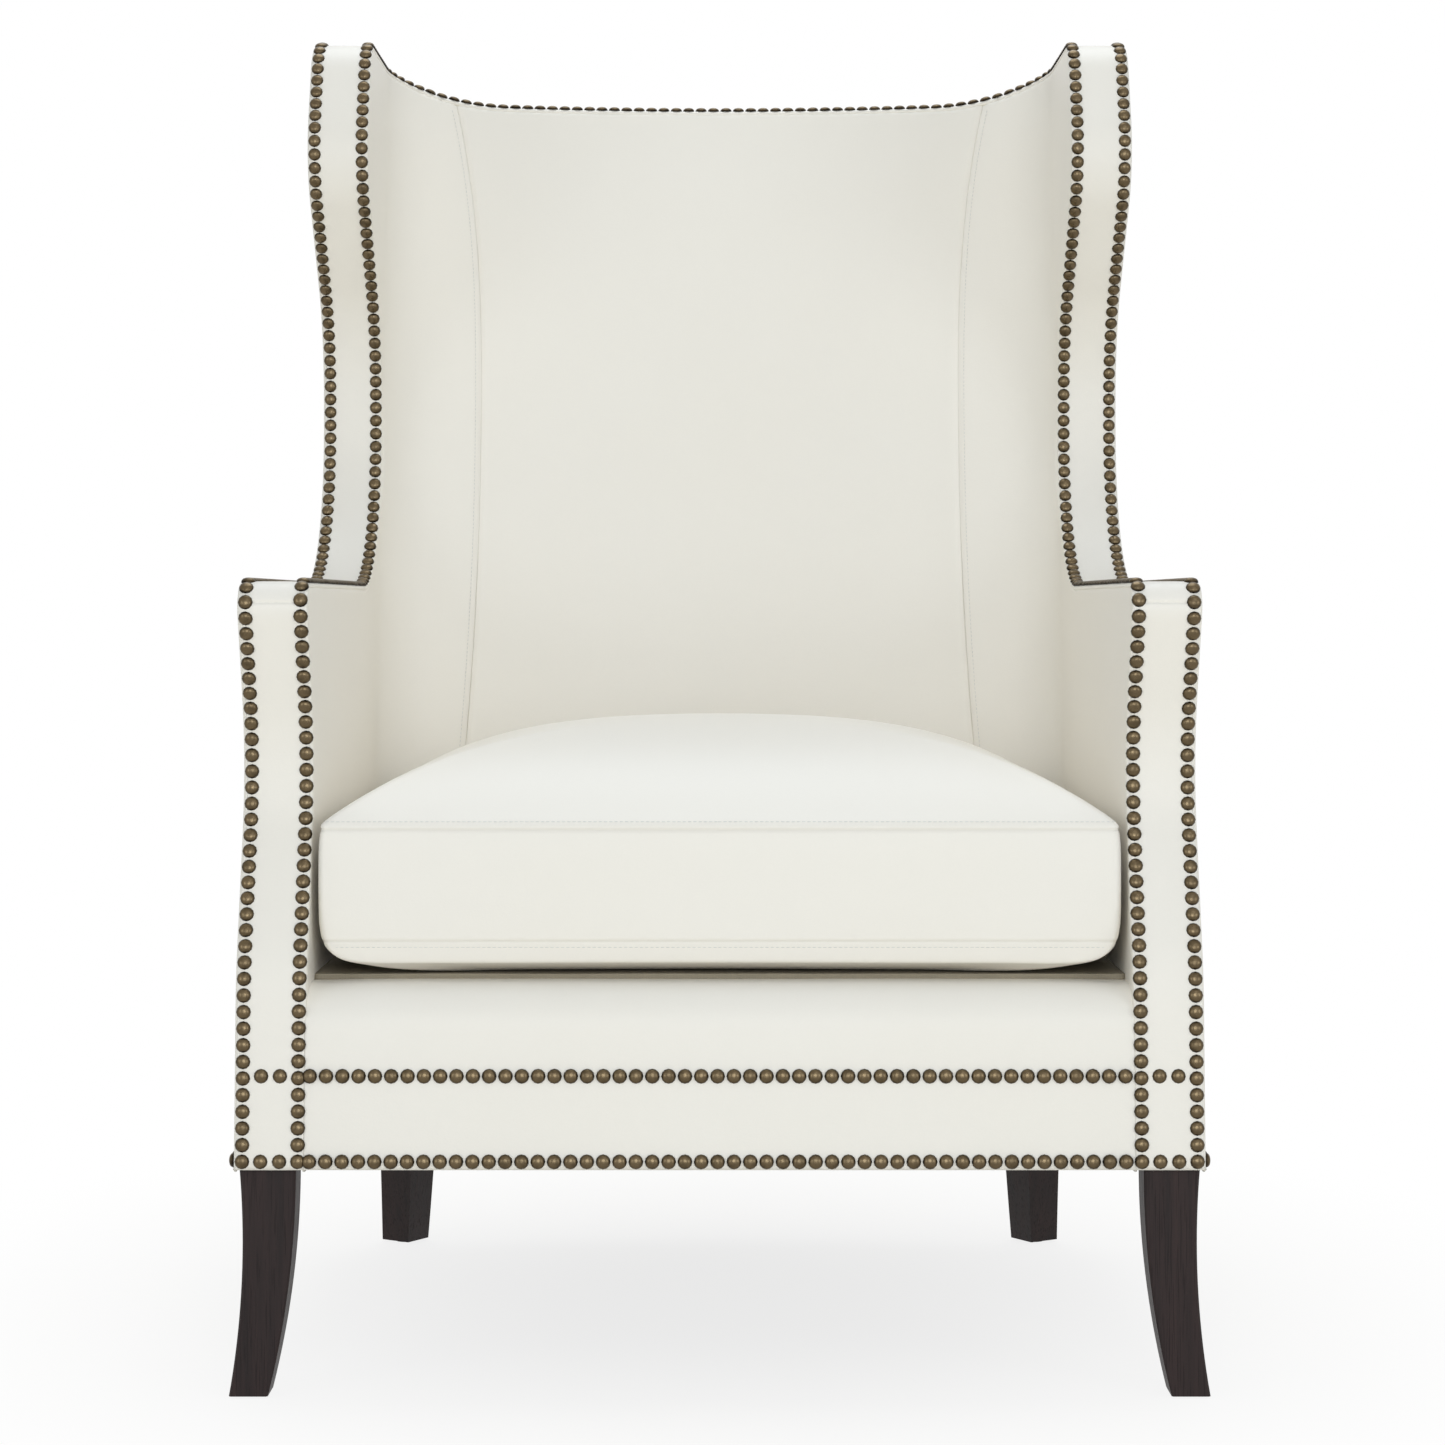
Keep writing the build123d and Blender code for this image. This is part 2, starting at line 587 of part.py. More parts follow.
strap_inner = inner_block(PAD_BACK + TIMBER_GAP)
strap_outer = inner_block(PAD_BACK + TIMBER_GAP + STRAP)
BACK_STRAP_RISE = 49.0
BACK_STRAP_LOW = DECK_HEIGHT + BACK_STRAP_RISE
BACK_STRAP_TOP = 16.0
BACK_STRAP_COUNT = 6
BACK_STRAP_STEP = (CREST_HEIGHT - BACK_STRAP_LOW - BACK_STRAP_TOP) / BACK_STRAP_COUNT
with BuildPart() as back_straps:
    for number in range(BACK_STRAP_COUNT):
        low = BACK_STRAP_LOW + number * BACK_STRAP_STEP
        strap_x = (-UPRIGHT_X[1], UPRIGHT_X[1])
        span(strap_x, (0, DEPTH), (low, low + BACK_STRAP_WIDTH))
    add(strap_outer, mode=Mode.INTERSECT)
    add(strap_inner, mode=Mode.SUBTRACT)
keep(back_straps.part, "back_straps")

# Seat front, deck and underside
border_skin = border_block(0)
border_under = border_block(LEATHER)
border_x = (-INNER_HALF, INNER_HALF)
border_y = (-DEPTH, behind(EDGE_ROLL))
roll_z = (STRAP_HIGH + STRAP + TIMBER_GAP, DECK_HEIGHT)
front_border = common([border_skin], [border_under], border_x, border_y, ALL_Z)
front_padding = common([border_under], [edge_timber], border_x, border_y, rail_z)
front_roll = common([border_under], [], border_x, border_y, roll_z)
keep(front_border, "front_border_cover")
keep(front_padding, "front_padding")
keep(front_roll, "front_edge_roll")

deck_y = (behind(EDGE_ROLL) + TIMBER_GAP, DEPTH)
deck_z = (roll_z[0], DECK_HEIGHT - LEATHER - TIMBER_GAP)
cover_z = (DECK_HEIGHT - LEATHER, DECK_HEIGHT)
deck_block = inner_block(-TIMBER_GAP)
keep(common([deck_block], [], border_x, deck_y, deck_z), "deck_pad")
keep(common([deck_block], [], border_x, deck_y, cover_z), "deck_cover")

dust_z = (LEG_HEIGHT, LEG_HEIGHT + LEATHER - 2 * TIMBER_GAP)
dust_x = (-HALF, HALF)
dust_y = (-DEPTH, DEPTH)
LEG_ROOM = 1.0
with BuildPart() as dust_cover:
    add(outer_block(LEATHER + TIMBER_GAP))
    add(side_block(LEATHER + TIMBER_GAP), mode=Mode.INTERSECT)
    span(dust_x, dust_y, dust_z, mode=Mode.INTERSECT)
    notch_x = (FRONT_LEG_TOP[0] - LEG_ROOM, HALF)
    notch_y = (FRONT - REACH, LEG_FRONT + FRONT_LEG_DEPTH + LEG_ROOM)
    span(notch_x, notch_y, dust_z, mode=Mode.SUBTRACT)
    span((-notch_x[1], -notch_x[0]), notch_y, dust_z, mode=Mode.SUBTRACT)
    for side in (1, -1):
        with BuildSketch(Plane.XY.offset(dust_z[0])):
            with Locations((side * REAR_LEG_TOP_AT[0], behind(REAR_LEG_TOP_AT[1]))):
                room = REAR_LEG_TOP + 2 * LEG_ROOM
                Rectangle(room, room, rotation=side * REAR_LEG_TURN)
        extrude(amount=LEATHER, mode=Mode.SUBTRACT)
keep(dust_cover.part, "dust_cover")

# Loose seat cushion: outlines that shrink over the crown and the belly
CUSHION_HALF = INNER_HALF - CUSHION_GAP
CUSHION_BOTTOM = DECK_HEIGHT + EASE
CUSHION_BELLY = CUSHION_SEAM_LOW - CUSHION_BOTTOM
SEAT_BACK = INNER_BACK - INNER_LEAN * (CREST_HEIGHT - CUSHION_BOTTOM)
CUSHION_BACK = SEAT_BACK - CUSHION_GAP
CUSHION_MIDDLE = (behind(CUSHION_FRONT) + CUSHION_BACK) / 2
CROWN_SHARES = (0.985, 0.93, 0.82, 0.66, 0.45, 0.2)
BOX_BULGE = 22.0


def cushion_outline(height, share, inset):
    """Cushion's outline at a height, shrunk towards its middle by share."""
    half = (CUSHION_HALF - inset) * share
    front = CUSHION_MIDDLE + (behind(CUSHION_FRONT) + inset - CUSHION_MIDDLE) * share
    back = CUSHION_MIDDLE + (CUSHION_BACK - inset - CUSHION_MIDDLE) * share
    bow = INNER_BOW * share
    drop = bow - math.sqrt(bow**2 - half**2)
    waist = half - CUSHION_DRAW * share
    middle = (front + back - drop) / 2
    with BuildSketch(Plane.XY.offset(height)) as outline:
        with BuildLine():
            near = Line((-half, front), (half, front))
            right = ThreePointArc(near @ 1, (waist, middle), (half, back - drop))
            rear = ThreePointArc(right @ 1, (0, back), (-half, back - drop))
            ThreePointArc(rear @ 1, (-waist, middle), near @ 0)
        make_face()
        by_depth = outline.vertices().sort_by(Axis.Y)
        fillet(by_depth[:2], CUSHION_CORNER * share)
        fillet(outline.vertices().sort_by(Axis.Y)[-2:], INNER_CORNER * share)
    return outline.sketch


def cushion_form(inset):
    """Crowned cushion with a bulging front and a rounded underside, drawn in by inset."""
    belly_top = CUSHION_SEAM_LOW
    sections = []
    for share in reversed(CROWN_SHARES):
        low = belly_top - (CUSHION_BELLY - inset) * (1 - share**BELLY_POWER)
        sections.append(cushion_outline(low, share, inset))
    sections.append(cushion_outline(belly_top + BOX_BULGE, 1.0, inset))
    sections.append(cushion_outline(CUSHION_SEAM_HIGH - BOX_BULGE, 1.0, inset))
    for share in CROWN_SHARES:
        high = CUSHION_SEAM_HIGH + (CUSHION_CROWN - inset) * (1 - share**CROWN_POWER)
        sections.append(cushion_outline(high, share, inset))
    with BuildPart() as form:
        loft(sections, ruled=True)
    return form.part


cushion_skin = cushion_form(0)
cushion_filling = cushion_form(LEATHER)
with BuildPart() as cushion_core:
    core_plan = cushion_outline(CUSHION_SEAM_LOW, 1.0, CORE_INSET)
    extrude(core_plan, amount=CUSHION_SEAM_HIGH - CUSHION_SEAM_LOW)
keep(cushion_core.part, "cushion_core")

with BuildPart() as cushion_wrap:
    add(cushion_filling)
    add(cushion_core.part, mode=Mode.SUBTRACT)
keep(cushion_wrap.part, "cushion_wrap")

with BuildPart() as cushion_case:
    add(cushion_skin)
    add(cushion_filling, mode=Mode.SUBTRACT)
keep(cushion_case.part, "cushion_case")

# Zip on the cushion's back, along the bow
ZIP_MIDDLE = (CUSHION_SEAM_LOW + CUSHION_SEAM_HIGH) / 2
ZIP_CENTRE = CUSHION_BACK - INNER_BOW
ZIP_ANGLE = math.degrees(ZIP_LENGTH / 2 / INNER_BOW)


def arc_block(near, far, half_angle, low, high, turn):
    """Slab that follows the cushion's bowed back between two distances from it."""
    with BuildPart() as slab:
        with BuildSketch(Plane.XY.offset(low)):
            with BuildLine():
                first = 90 - half_angle + turn
                inside = CenterArc((0, ZIP_CENTRE), INNER_BOW + near, first, 2 * half_angle)
                outside = CenterArc((0, ZIP_CENTRE), INNER_BOW + far, first, 2 * half_angle)
                Line(inside @ 0, outside @ 0)
                Line(inside @ 1, outside @ 1)
            make_face()
        extrude(amount=high - low)
    return slab.part


TAPE_LOW = ZIP_MIDDLE - ZIP_WIDTH / 2
TAPE_HIGH = ZIP_MIDDLE + ZIP_WIDTH / 2
TAPE_BACK = EASE + ZIP_TAPE
zip_tape = arc_block(EASE, TAPE_BACK, ZIP_ANGLE, TAPE_LOW, TAPE_HIGH, 0)
keep(zip_tape, "zip_tape")

SLIDER_ANGLE = math.degrees(ZIP_SLIDER[0] / 2 / INNER_BOW)
SLIDER_TURN = -(ZIP_ANGLE - 2 * SLIDER_ANGLE)
SLIDER_LOW = ZIP_MIDDLE - ZIP_SLIDER[1] / 2
SLIDER_HIGH = ZIP_MIDDLE + ZIP_SLIDER[1] / 2
SLIDER_NEAR = TAPE_BACK + EASE
zip_slider = arc_block(
    SLIDER_NEAR, SLIDER_NEAR + ZIP_SLIDER[2], SLIDER_ANGLE, SLIDER_LOW, SLIDER_HIGH, SLIDER_TURN
)
keep(zip_slider, "zip_slider")
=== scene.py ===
"""Wing chair in ivory leather with antique nail trim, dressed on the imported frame. Lengths are metres."""

import bisect
import json
import logging
import math
from dataclasses import dataclass, field
from enum import Enum
from typing import Callable, Optional, Sequence, Union

import bmesh
import bpy
from mathutils import Matrix, Vector, noise
from mathutils.bvhtree import BVHTree
from mathutils.kdtree import KDTree


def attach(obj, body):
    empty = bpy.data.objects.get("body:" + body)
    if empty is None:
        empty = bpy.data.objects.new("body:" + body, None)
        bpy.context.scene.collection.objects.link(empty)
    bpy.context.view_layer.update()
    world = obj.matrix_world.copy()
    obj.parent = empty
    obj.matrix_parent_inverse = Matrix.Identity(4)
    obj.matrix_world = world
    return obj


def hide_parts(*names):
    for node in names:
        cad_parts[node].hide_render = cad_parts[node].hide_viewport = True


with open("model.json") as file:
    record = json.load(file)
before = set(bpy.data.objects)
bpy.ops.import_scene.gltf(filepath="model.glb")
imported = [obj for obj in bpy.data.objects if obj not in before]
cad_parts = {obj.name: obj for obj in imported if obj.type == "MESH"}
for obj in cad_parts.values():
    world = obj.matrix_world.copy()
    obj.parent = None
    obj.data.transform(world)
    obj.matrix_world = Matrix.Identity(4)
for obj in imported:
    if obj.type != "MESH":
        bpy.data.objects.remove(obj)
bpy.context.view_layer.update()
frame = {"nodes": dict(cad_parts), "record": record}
log = logging.getLogger("wing_chair")

MM = 0.001
SEED = 7
DEPTH = 0.830
FRONT = -DEPTH / 2
LEG_HEIGHT = 0.182
ARM_HEIGHT = 0.645
CREST_HEIGHT = 1.128
EAR_TOP_HEIGHT = 1.1565
HALF = 0.383
INNER_HALF = 0.327
DECK_HEIGHT = 0.331
INSIDE_BOTTOM = 0.302
CREST_LEVEL = 0.213
CREST_CURVE = 0.250
LEATHER = 0.0017
FOLD = 0.002
UNDER_FOLD = (-0.012, -0.006, -FOLD, -0.001)
CUSHION_SEAMS = (0.3579, 0.4473)
LIGHT = (0.870, 0.928, 1.0)
WHITE = (1.0, 1.0, 1.0)

Point2 = tuple[float, float]
Triple = tuple[float, float, float]
Value = Union["Sock", float, tuple]
Mark = tuple[Vector, Vector]
Line = Callable[[float], Vector]
Surface = Callable[[float, float], Vector]
Seam = Callable[[float], float]
Move = Callable[[Vector], Vector]


class Side(Enum):
    """The two hands of a mirrored pair, by the sign of X."""

    RIGHT = 1
    LEFT = -1

    @property
    def word(self) -> str:
        """Ending of the node names on this side."""
        return self.name.lower()


class Meeting(Enum):
    """How a leather panel ends at one of its borders."""

    RIM = "tucked under the edge band"
    SEAM = "sewn to the next panel"
    HIDDEN = "runs on out of sight"


def ease(value: float) -> float:
    """Smooth step of a value from 0 to 1."""
    value = min(max(value, 0.0), 1.0)
    return value * value * (3.0 - 2.0 * value)


def even(count: int) -> list[float]:
    """Even shares from 0 to 1, in a number of steps."""
    return [number / count for number in range(count + 1)]


def graded(count: int, tight: float = 0.85) -> list[float]:
    """Parameters from 0 to 1 that lie closer together towards both ends.

    Args:
        count: Number of steps.
        tight: How strongly the ends are tightened, from 0 to 1.

    Returns:
        The count + 1 parameters.
    """
    return [step - tight * math.sin(2 * math.pi * step) / (2 * math.pi) for step in even(count)]


def behind(distance: float) -> float:
    """Y of a place given by its distance behind the chair's front."""
    return FRONT + distance


@dataclass
class EdgeLine:
    """A line of straight runs joined by arcs, in a flat pair of axes.

    Attributes:
        turns: First axis, second axis and rounding of each turn. The ends have no rounding.
    """

    turns: tuple[Triple, ...]
    runs: list[tuple] = field(init=False, default_factory=list)
    ends: list[float] = field(init=False, default_factory=list)

    def __post_init__(self) -> None:
        """Work out the runs and the length at the end of each."""
        places = [Vector(turn[:2]) for turn in self.turns]
        last = places[0]
        for before, place, after, turn in zip(places, places[1:], places[2:], self.turns[1:]):
            to_before = (before - place).normalized()
            to_after = (after - place).normalized()
            half_angle = to_before.angle(to_after) / 2
            reach = turn[2] / math.tan(half_angle)
            start = place + to_before * reach
            end = place + to_after * reach
            centre = place + (to_before + to_after).normalized() * turn[2] / math.sin(half_angle)
            first = math.atan2(*reversed(start - centre))
            sweep = (math.atan2(*reversed(end - centre)) - first + math.pi) % (2 * math.pi) - math.pi
            self._add((last, start), (start - last).length)
            self._add((centre, turn[2], first, sweep), turn[2] * abs(sweep))
            last = end
        self._add((last, places[-1]), (places[-1] - last).length)

    def _add(self, run: tuple, length: float) -> None:
        """Add one run and the line's length up to its end."""
        self.runs.append(run)
        self.ends.append((self.ends[-1] if self.ends else 0.0) + length)

    def point(self, length: float) -> Vector:
        """Place on the line at a length from its start."""
        start = 0.0
        for run, end in zip(self.runs, self.ends):
            if length <= end or end == self.ends[-1]:
                share = (length - start) / max(end - start, 1e-9)
                if len(run) == 2:
                    return run[0].lerp(run[1], share)
                turned = run[2] + run[3] * share
                return run[0] + run[1] * Vector((math.cos(turned), math.sin(turned)))
            start = end
        return self.runs[-1][1].copy()

    def length_at(self, height: float, low: float, high: float) -> float:
        """Length between low and high at which the second axis reaches a height."""
        for _ in range(40):
            middle = (low + high) / 2
            if self.point(middle).y < height:
                low = middle
            else:
                high = middle
        return (low + high) / 2


@dataclass
class Plan:
    """Plan of one face of the shell: straight side, rounded corner and bowed back, on the right.

    Attributes:
        half: Distance of the side from the middle.
        back: Y of the back's middle at the crest's height.
        bow: Radius of the back's bow.
        corner: Radius of the corner.
        lean: Rearward lean of the back for each metre of height.
        facing: 1 where the face looks outwards, -1 where it looks at the sitter.
        level: Height at which back is given.
    """

    half: float
    back: float
    bow: float
    corner: float
    lean: float
    facing: int
    level: float = CREST_HEIGHT

    def __post_init__(self) -> None:
        """Work out the arcs' centres and lengths."""
        self.bow_y = self.back - self.bow
        run = self.half - self.corner
        self.centre = Vector((run, self.bow_y + math.sqrt((self.bow - self.corner) ** 2 - run**2)))
        self.turn = math.atan2(self.centre.y - self.bow_y, run)
        self.corner_length = self.corner * self.turn
        self.middle = self.corner_length + self.bow * (math.pi / 2 - self.turn)

    def flat(self, along: float) -> tuple[Vector, Vector]:
        """Place and outward direction in plan, by length along from the corner's start."""
        if along <= 0:
            return Vector((self.half, self.centre.y + along)), Vector((1.0, 0.0))
        if along <= self.corner_length:
            angle = along / self.corner
            out = Vector((math.cos(angle), math.sin(angle)))
            return self.centre + out * self.corner, out
        angle = self.turn + (along - self.corner_length) / self.bow
        out = Vector((math.cos(angle), math.sin(angle)))
        return Vector((0, self.bow_y)) + out * self.bow, out

    def point(self, along: float, height: float, lift: float = 0.0) -> Vector:
        """Place on the face, lifted off it towards the side that is seen."""
        place, out = self.flat(along)
        normal = Vector((out.x, out.y, -self.lean * out.y)).normalized()
        at = Vector((place.x, place.y + self.lean * (height - self.level), height))
        return at + normal * lift * self.facing

    def along_side(self, y: float, height: float) -> float:
        """Length along the plan of a place on the straight side."""
        return y - self.centre.y - self.lean * (height - self.level)

    def along_back(self, x: float) -> float:
        """Length along the plan of a place on the bowed back."""
        return self.corner_length + self.bow * (math.acos(x / self.bow) - self.turn)


def crest_height(x: float) -> float:
    """Height of the crest line at a distance from the chair's middle."""
    run = min(max(0.0, abs(x) - CREST_LEVEL), CREST_CURVE)
    return min(EAR_TOP_HEIGHT, CREST_HEIGHT + CREST_CURVE - math.sqrt(CREST_CURVE**2 - run**2))


KNEE = (0.012, 0.335, 0.200)
SIDE_EDGE = EdgeLine(
    (
        (0.0, LEG_HEIGHT, 0.0),
        KNEE,
        (0.070, 0.500, 0.150),
        (0.009, ARM_HEIGHT, 0.020),
        (0.613, ARM_HEIGHT, 0.155),
        (0.613, 0.8865, 0.150),
        (0.469, 1.036, 0.075),
        (0.519, EAR_TOP_HEIGHT, 0.046),
        (DEPTH, EAR_TOP_HEIGHT, 0.0),
    )
)
NOSE_END, SWEEP_START, EAR_END = SIDE_EDGE.ends[5], SIDE_EDGE.ends[6], SIDE_EDGE.ends[13]
INNER = Plan(INNER_HALF, DEPTH / 2 - 0.058, 0.960, 0.065, math.tan(math.radians(11.5)), -1)
OUTER = Plan(HALF, DEPTH / 2, 1.150, 0.105, math.tan(math.radians(6.5)), 1)


@dataclass
class Rim:
    """The edge of the shell between its inner and outer face, from the front foot to the crest's middle."""

    def __post_init__(self) -> None:
        """Work out where the edge's parts end."""
        y = behind(SIDE_EDGE.point(EAR_END).x)
        self.starts = [plan.along_side(y, EAR_TOP_HEIGHT) for plan in (INNER, OUTER)]
        level = -sum(self.starts) / 2
        corner = (INNER.corner_length + OUTER.corner_length) / 2
        back = (INNER.middle + OUTER.middle) / 2 - corner
        self.ends = [EAR_END, EAR_END + level, EAR_END + level + corner, EAR_END + level + corner + back]
        self.length = self.ends[3]

    def pair(self, length: float) -> tuple[Vector, Vector]:
        """Inner and outer arris of the edge at a length from the foot."""
        if length <= self.ends[0]:
            place = SIDE_EDGE.point(length)
            y = behind(place.x)
            low = min(place.y, crest_height(INNER_HALF))
            return Vector((INNER_HALF, y, low)), Vector((HALF, y, place.y))
        found = []
        for plan, start in zip((INNER, OUTER), self.starts):
            marks = [start, 0.0, plan.corner_length, plan.middle]
            for part in range(3):
                low, high = self.ends[part], self.ends[part + 1]
                if length <= high or part == 2:
                    share = min((length - low) / (high - low), 1.0)
                    along = marks[part] + (marks[part + 1] - marks[part]) * share
                    break
            found.append(plan.point(along, crest_height(plan.flat(along)[0].x)))
        return found[0], found[1]

    def axes(self, length: float) -> tuple[Vector, Vector, Vector, float]:
        """Inner arris, direction across, direction out of the edge, and width."""
        near, far = self.pair(length)
        step = 0.0015
        first = max(length - step, 0.0)
        last = min(length + step, self.length)
        before, after = self.pair(first), self.pair(last)
        run = (after[0] + after[1] - before[0] - before[1]).normalized()
        across = (far - near).normalized()
        return near, across, across.cross(run).normalized(), (far - near).length

    def point(self, length: float, across: float, height: float) -> Vector:
        """Place by its distance across from the inner arris, or from the outer where negative."""
        near, sideways, out, width = self.axes(length)
        return near + sideways * (across if across >= 0 else width + across) + out * height


RIM = Rim()


class Sock:
    """A shader socket that arithmetic works on."""

    def __init__(self, nodes: "Nodes", socket: bpy.types.NodeSocket) -> None:
        """Wrap one output socket of a tree's nodes."""
        self.nodes = nodes
        self.socket = socket

    def _math(self, operation: str, first: Value, second: Value = 0.0) -> "Sock":
        """Add a Math node on two values."""
        return self.nodes.add("ShaderNodeMath", {"operation": operation}, {0: first, 1: second})

    def __add__(self, other: Value) -> "Sock":
        """Sum with a value."""
        return self._math("ADD", self, other)

    __radd__ = __add__

    def __sub__(self, other: Value) -> "Sock":
        """Difference from a value."""
        return self._math("SUBTRACT", self, other)

    def __rsub__(self, other: Value) -> "Sock":
        """Value less this one."""
        return self._math("SUBTRACT", other, self)

    def __mul__(self, other: Value) -> "Sock":
        """Product with a value."""
        return self._math("MULTIPLY", self, other)

    __rmul__ = __mul__

    def __truediv__(self, other: Value) -> "Sock":
        """Quotient by a value."""
        return self._math("DIVIDE", self, other)

    def __rtruediv__(self, other: Value) -> "Sock":
        """Value divided by this one."""
        return self._math("DIVIDE", other, self)

    def __abs__(self) -> "Sock":
        """Size without sign."""
        return self._math("ABSOLUTE", self)

    def most(self, other: Value) -> "Sock":
        """Greater of this and a value."""
        return self._math("MAXIMUM", self, other)

    def below(self, edge: float, soft: float) -> "Sock":
        """1 under an edge and 0 above it, over a soft step."""
        limits = {0: self, 1: edge - soft / 2, 2: edge + soft / 2, 3: 1.0, 4: 0.0}
        return self.nodes.add("ShaderNodeMapRange", {"interpolation_type": "SMOOTHSTEP"}, limits)


class Nodes:
    """The nodes of a material or of the world."""

    def __init__(self, tree: bpy.types.NodeTree) -> None:
        """Take up a node tree."""
        self.tree = tree

    def add(
        self,
        kind: str,
        settings: Optional[dict] = None,
        sockets: Optional[dict] = None,
        out: Union[int, str] = 0,
    ) -> Sock:
        """Add a node.

        Args:
            kind: The node's type.
            settings: Its properties, or the stops of its ramp.
            sockets: Values or links of its inputs, by number or name.
            out: Which output is wanted.

        Returns:
            The wanted output.
        """
        node = self.tree.nodes.new(kind)
        for name, value in (settings or {}).items():
            if name == "stops":
                ramp = node.color_ramp.elements
                while len(ramp) < len(value):
                    ramp.new(0.5)
                for element, (place, colour) in zip(ramp, value):
                    element.position = place
                    element.color = (*colour, 1.0)
            else:
                setattr(node, name, value)
        for name, value in (sockets or {}).items():
            self.feed(node.inputs[name], value)
        return Sock(self, node.outputs[out])

    def feed(self, socket: bpy.types.NodeSocket, value: Value) -> None:
        """Link or set an input socket."""
        if isinstance(value, Sock):
            self.tree.links.new(value.socket, socket)
        elif isinstance(value, tuple) and len(value) == 3 and socket.type == "RGBA":
            socket.default_value = (*value, 1.0)
        else:
            socket.default_value = value

    def seen(self) -> Sock:
        """Factor that is 1 for rays from the camera, from glossy and from clear surfaces."""
        names = ("Is Camera Ray", "Is Glossy Ray", "Is Transmission Ray")
        camera, glossy, clear = [self.add("ShaderNodeLightPath", out=name) for name in names]
        return camera.most(glossy).most(clear)


class Shader(Nodes):
    """A material under construction."""

    def __init__(self, name: str) -> None:
        """Start a material with a bare surface shader."""
        self.material = bpy.data.materials.new(name)
        self.material.use_nodes = True
        super().__init__(self.material.node_tree)
        self.surface = self.tree.nodes["Principled BSDF"]

    def dress(self, **inputs: Value) -> bpy.types.Material:
        """Feed the surface shader's inputs, with underscores for the spaces in their names."""
        for name, value in inputs.items():
            self.feed(self.surface.inputs[name.replace("_", " ")], value)
        return self.material

    def place(self, stretch: Triple = (1.0, 1.0, 1.0)) -> Sock:
        """Object coordinates, stretched along the axes."""
        here = self.add("ShaderNodeTexCoord", out="Object")
        return self.add("ShaderNodeMapping", None, {"Vector": here, "Scale": stretch})

    def height(self) -> Sock:
        """Height of the point on the piece."""
        here = self.add("ShaderNodeTexCoord", out="Object")
        return self.add("ShaderNodeSeparateXYZ", None, {0: here}, out=2)

    def noise(self, place: Sock, scale: float, detail: float = 3.0) -> Sock:
        """Soft noise from 0 to 1."""
        return self.add("ShaderNodeTexNoise", None, {"Vector": place, "Scale": scale, "Detail": detail})

    def mix(self, share: Value, first: Value, second: Value) -> Sock:
        """Blend of two colours."""
        settings = {"data_type": "RGBA", "clamp_factor": True}
        return self.add("ShaderNodeMix", settings, {0: share, 6: first, 7: second}, out=2)

    def bump(self, height: Value, strength: float, distance: float, under: Optional[Sock] = None) -> Sock:
        """Bump from a height, over another bump."""
        sockets = {"Height": height, "Strength": strength, "Distance": distance}
        if under is not None:
            sockets["Normal"] = under
        return self.add("ShaderNodeBump", None, sockets)


@dataclass(frozen=True)
class LeatherFinish:
    """Smooth upholstery leather with fine pores and a low sheen.

    Attributes:
        name: Material's name.
        colour: Main colour.
        shade: Colour of the slightly deeper patches.
        roughness: Middle roughness.
        seams: Heights of level seams drawn in the surface, each with a thin darker line of painted shade in
            its crease.
    """

    name: str
    colour: Triple = (0.880, 0.834, 0.744)
    shade: Triple = (0.856, 0.806, 0.705)
    roughness: float = 0.46
    seams: tuple[float, ...] = ()

    def build(self) -> bpy.types.Material:
        """Make the material."""
        shader = Shader(self.name)
        here = shader.place()
        patches = shader.noise(here, 5.0, 4.0)
        cells = shader.add(
            "ShaderNodeTexVoronoi",
            {"feature": "SMOOTH_F1"},
            {"Vector": here, "Scale": 620.0, "Smoothness": 0.6, "Randomness": 0.9},
        )
        creases = shader.noise(here, 240.0, 4.0)
        pores = shader.noise(here, 1500.0, 2.0)
        grain = cells * 0.55 + creases * 0.5 + pores * 0.25
        relief = shader.bump(grain, 0.16, 0.0004)
        colour = shader.mix(patches, self.shade, self.colour)
        colour = shader.mix(cells * 0.06, colour, (0.70, 0.66, 0.56))
        for seam in self.seams:
            line = abs(shader.height() - seam).below(0.0009, 0.0010)
            ridge = abs(shader.height() - seam).below(0.0045, 0.0050)
            relief = shader.bump(ridge * 0.4 - line, 0.4, 0.0009, relief)
            # The darker line along the seam is painted shade in the seam's crease.
            colour = shader.mix(line * 0.10, colour, (0.46, 0.42, 0.33))
        rough = self.roughness - 0.08 + patches * 0.10 + cells * 0.06
        return shader.dress(
            Base_Color=colour, Roughness=rough, Normal=relief, Specular_IOR_Level=0.42, Sheen_Weight=0.04
        )


@dataclass(frozen=True)
class WoodFinish:
    """Straight-grained wood, stained or raw."""

    name: str
    dark: Triple
    light: Triple
    roughness: float
    coat: float = 0.0

    def build(self) -> bpy.types.Material:
        """Make the material."""
        shader = Shader(self.name)
        streaks = shader.noise(shader.place((160.0, 160.0, 7.0)), 1.0, 5.0)
        pores = shader.noise(shader.place((900.0, 900.0, 26.0)), 1.0, 2.0)
        bands = shader.noise(shader.place((34.0, 34.0, 2.2)), 1.0, 3.0)
        open_pores = pores.below(0.40, 0.12)
        tone = streaks * 0.65 + bands * 0.35
        stops = {"stops": [(0.32, self.dark), (0.68, self.light)]}
        colour = shader.add("ShaderNodeValToRGB", stops, {0: tone})
        colour = shader.mix(open_pores * 0.45, colour, tuple(part * 0.35 for part in self.dark))
        relief = shader.bump(streaks * 0.4 - open_pores * 0.6, 0.22, 0.0006)
        rough = self.roughness + streaks * 0.12 + open_pores * 0.15
        return shader.dress(
            Base_Color=colour,
            Roughness=rough,
            Normal=relief,
            Specular_IOR_Level=0.22,
            Coat_Weight=self.coat,
            Coat_Roughness=0.3,
        )


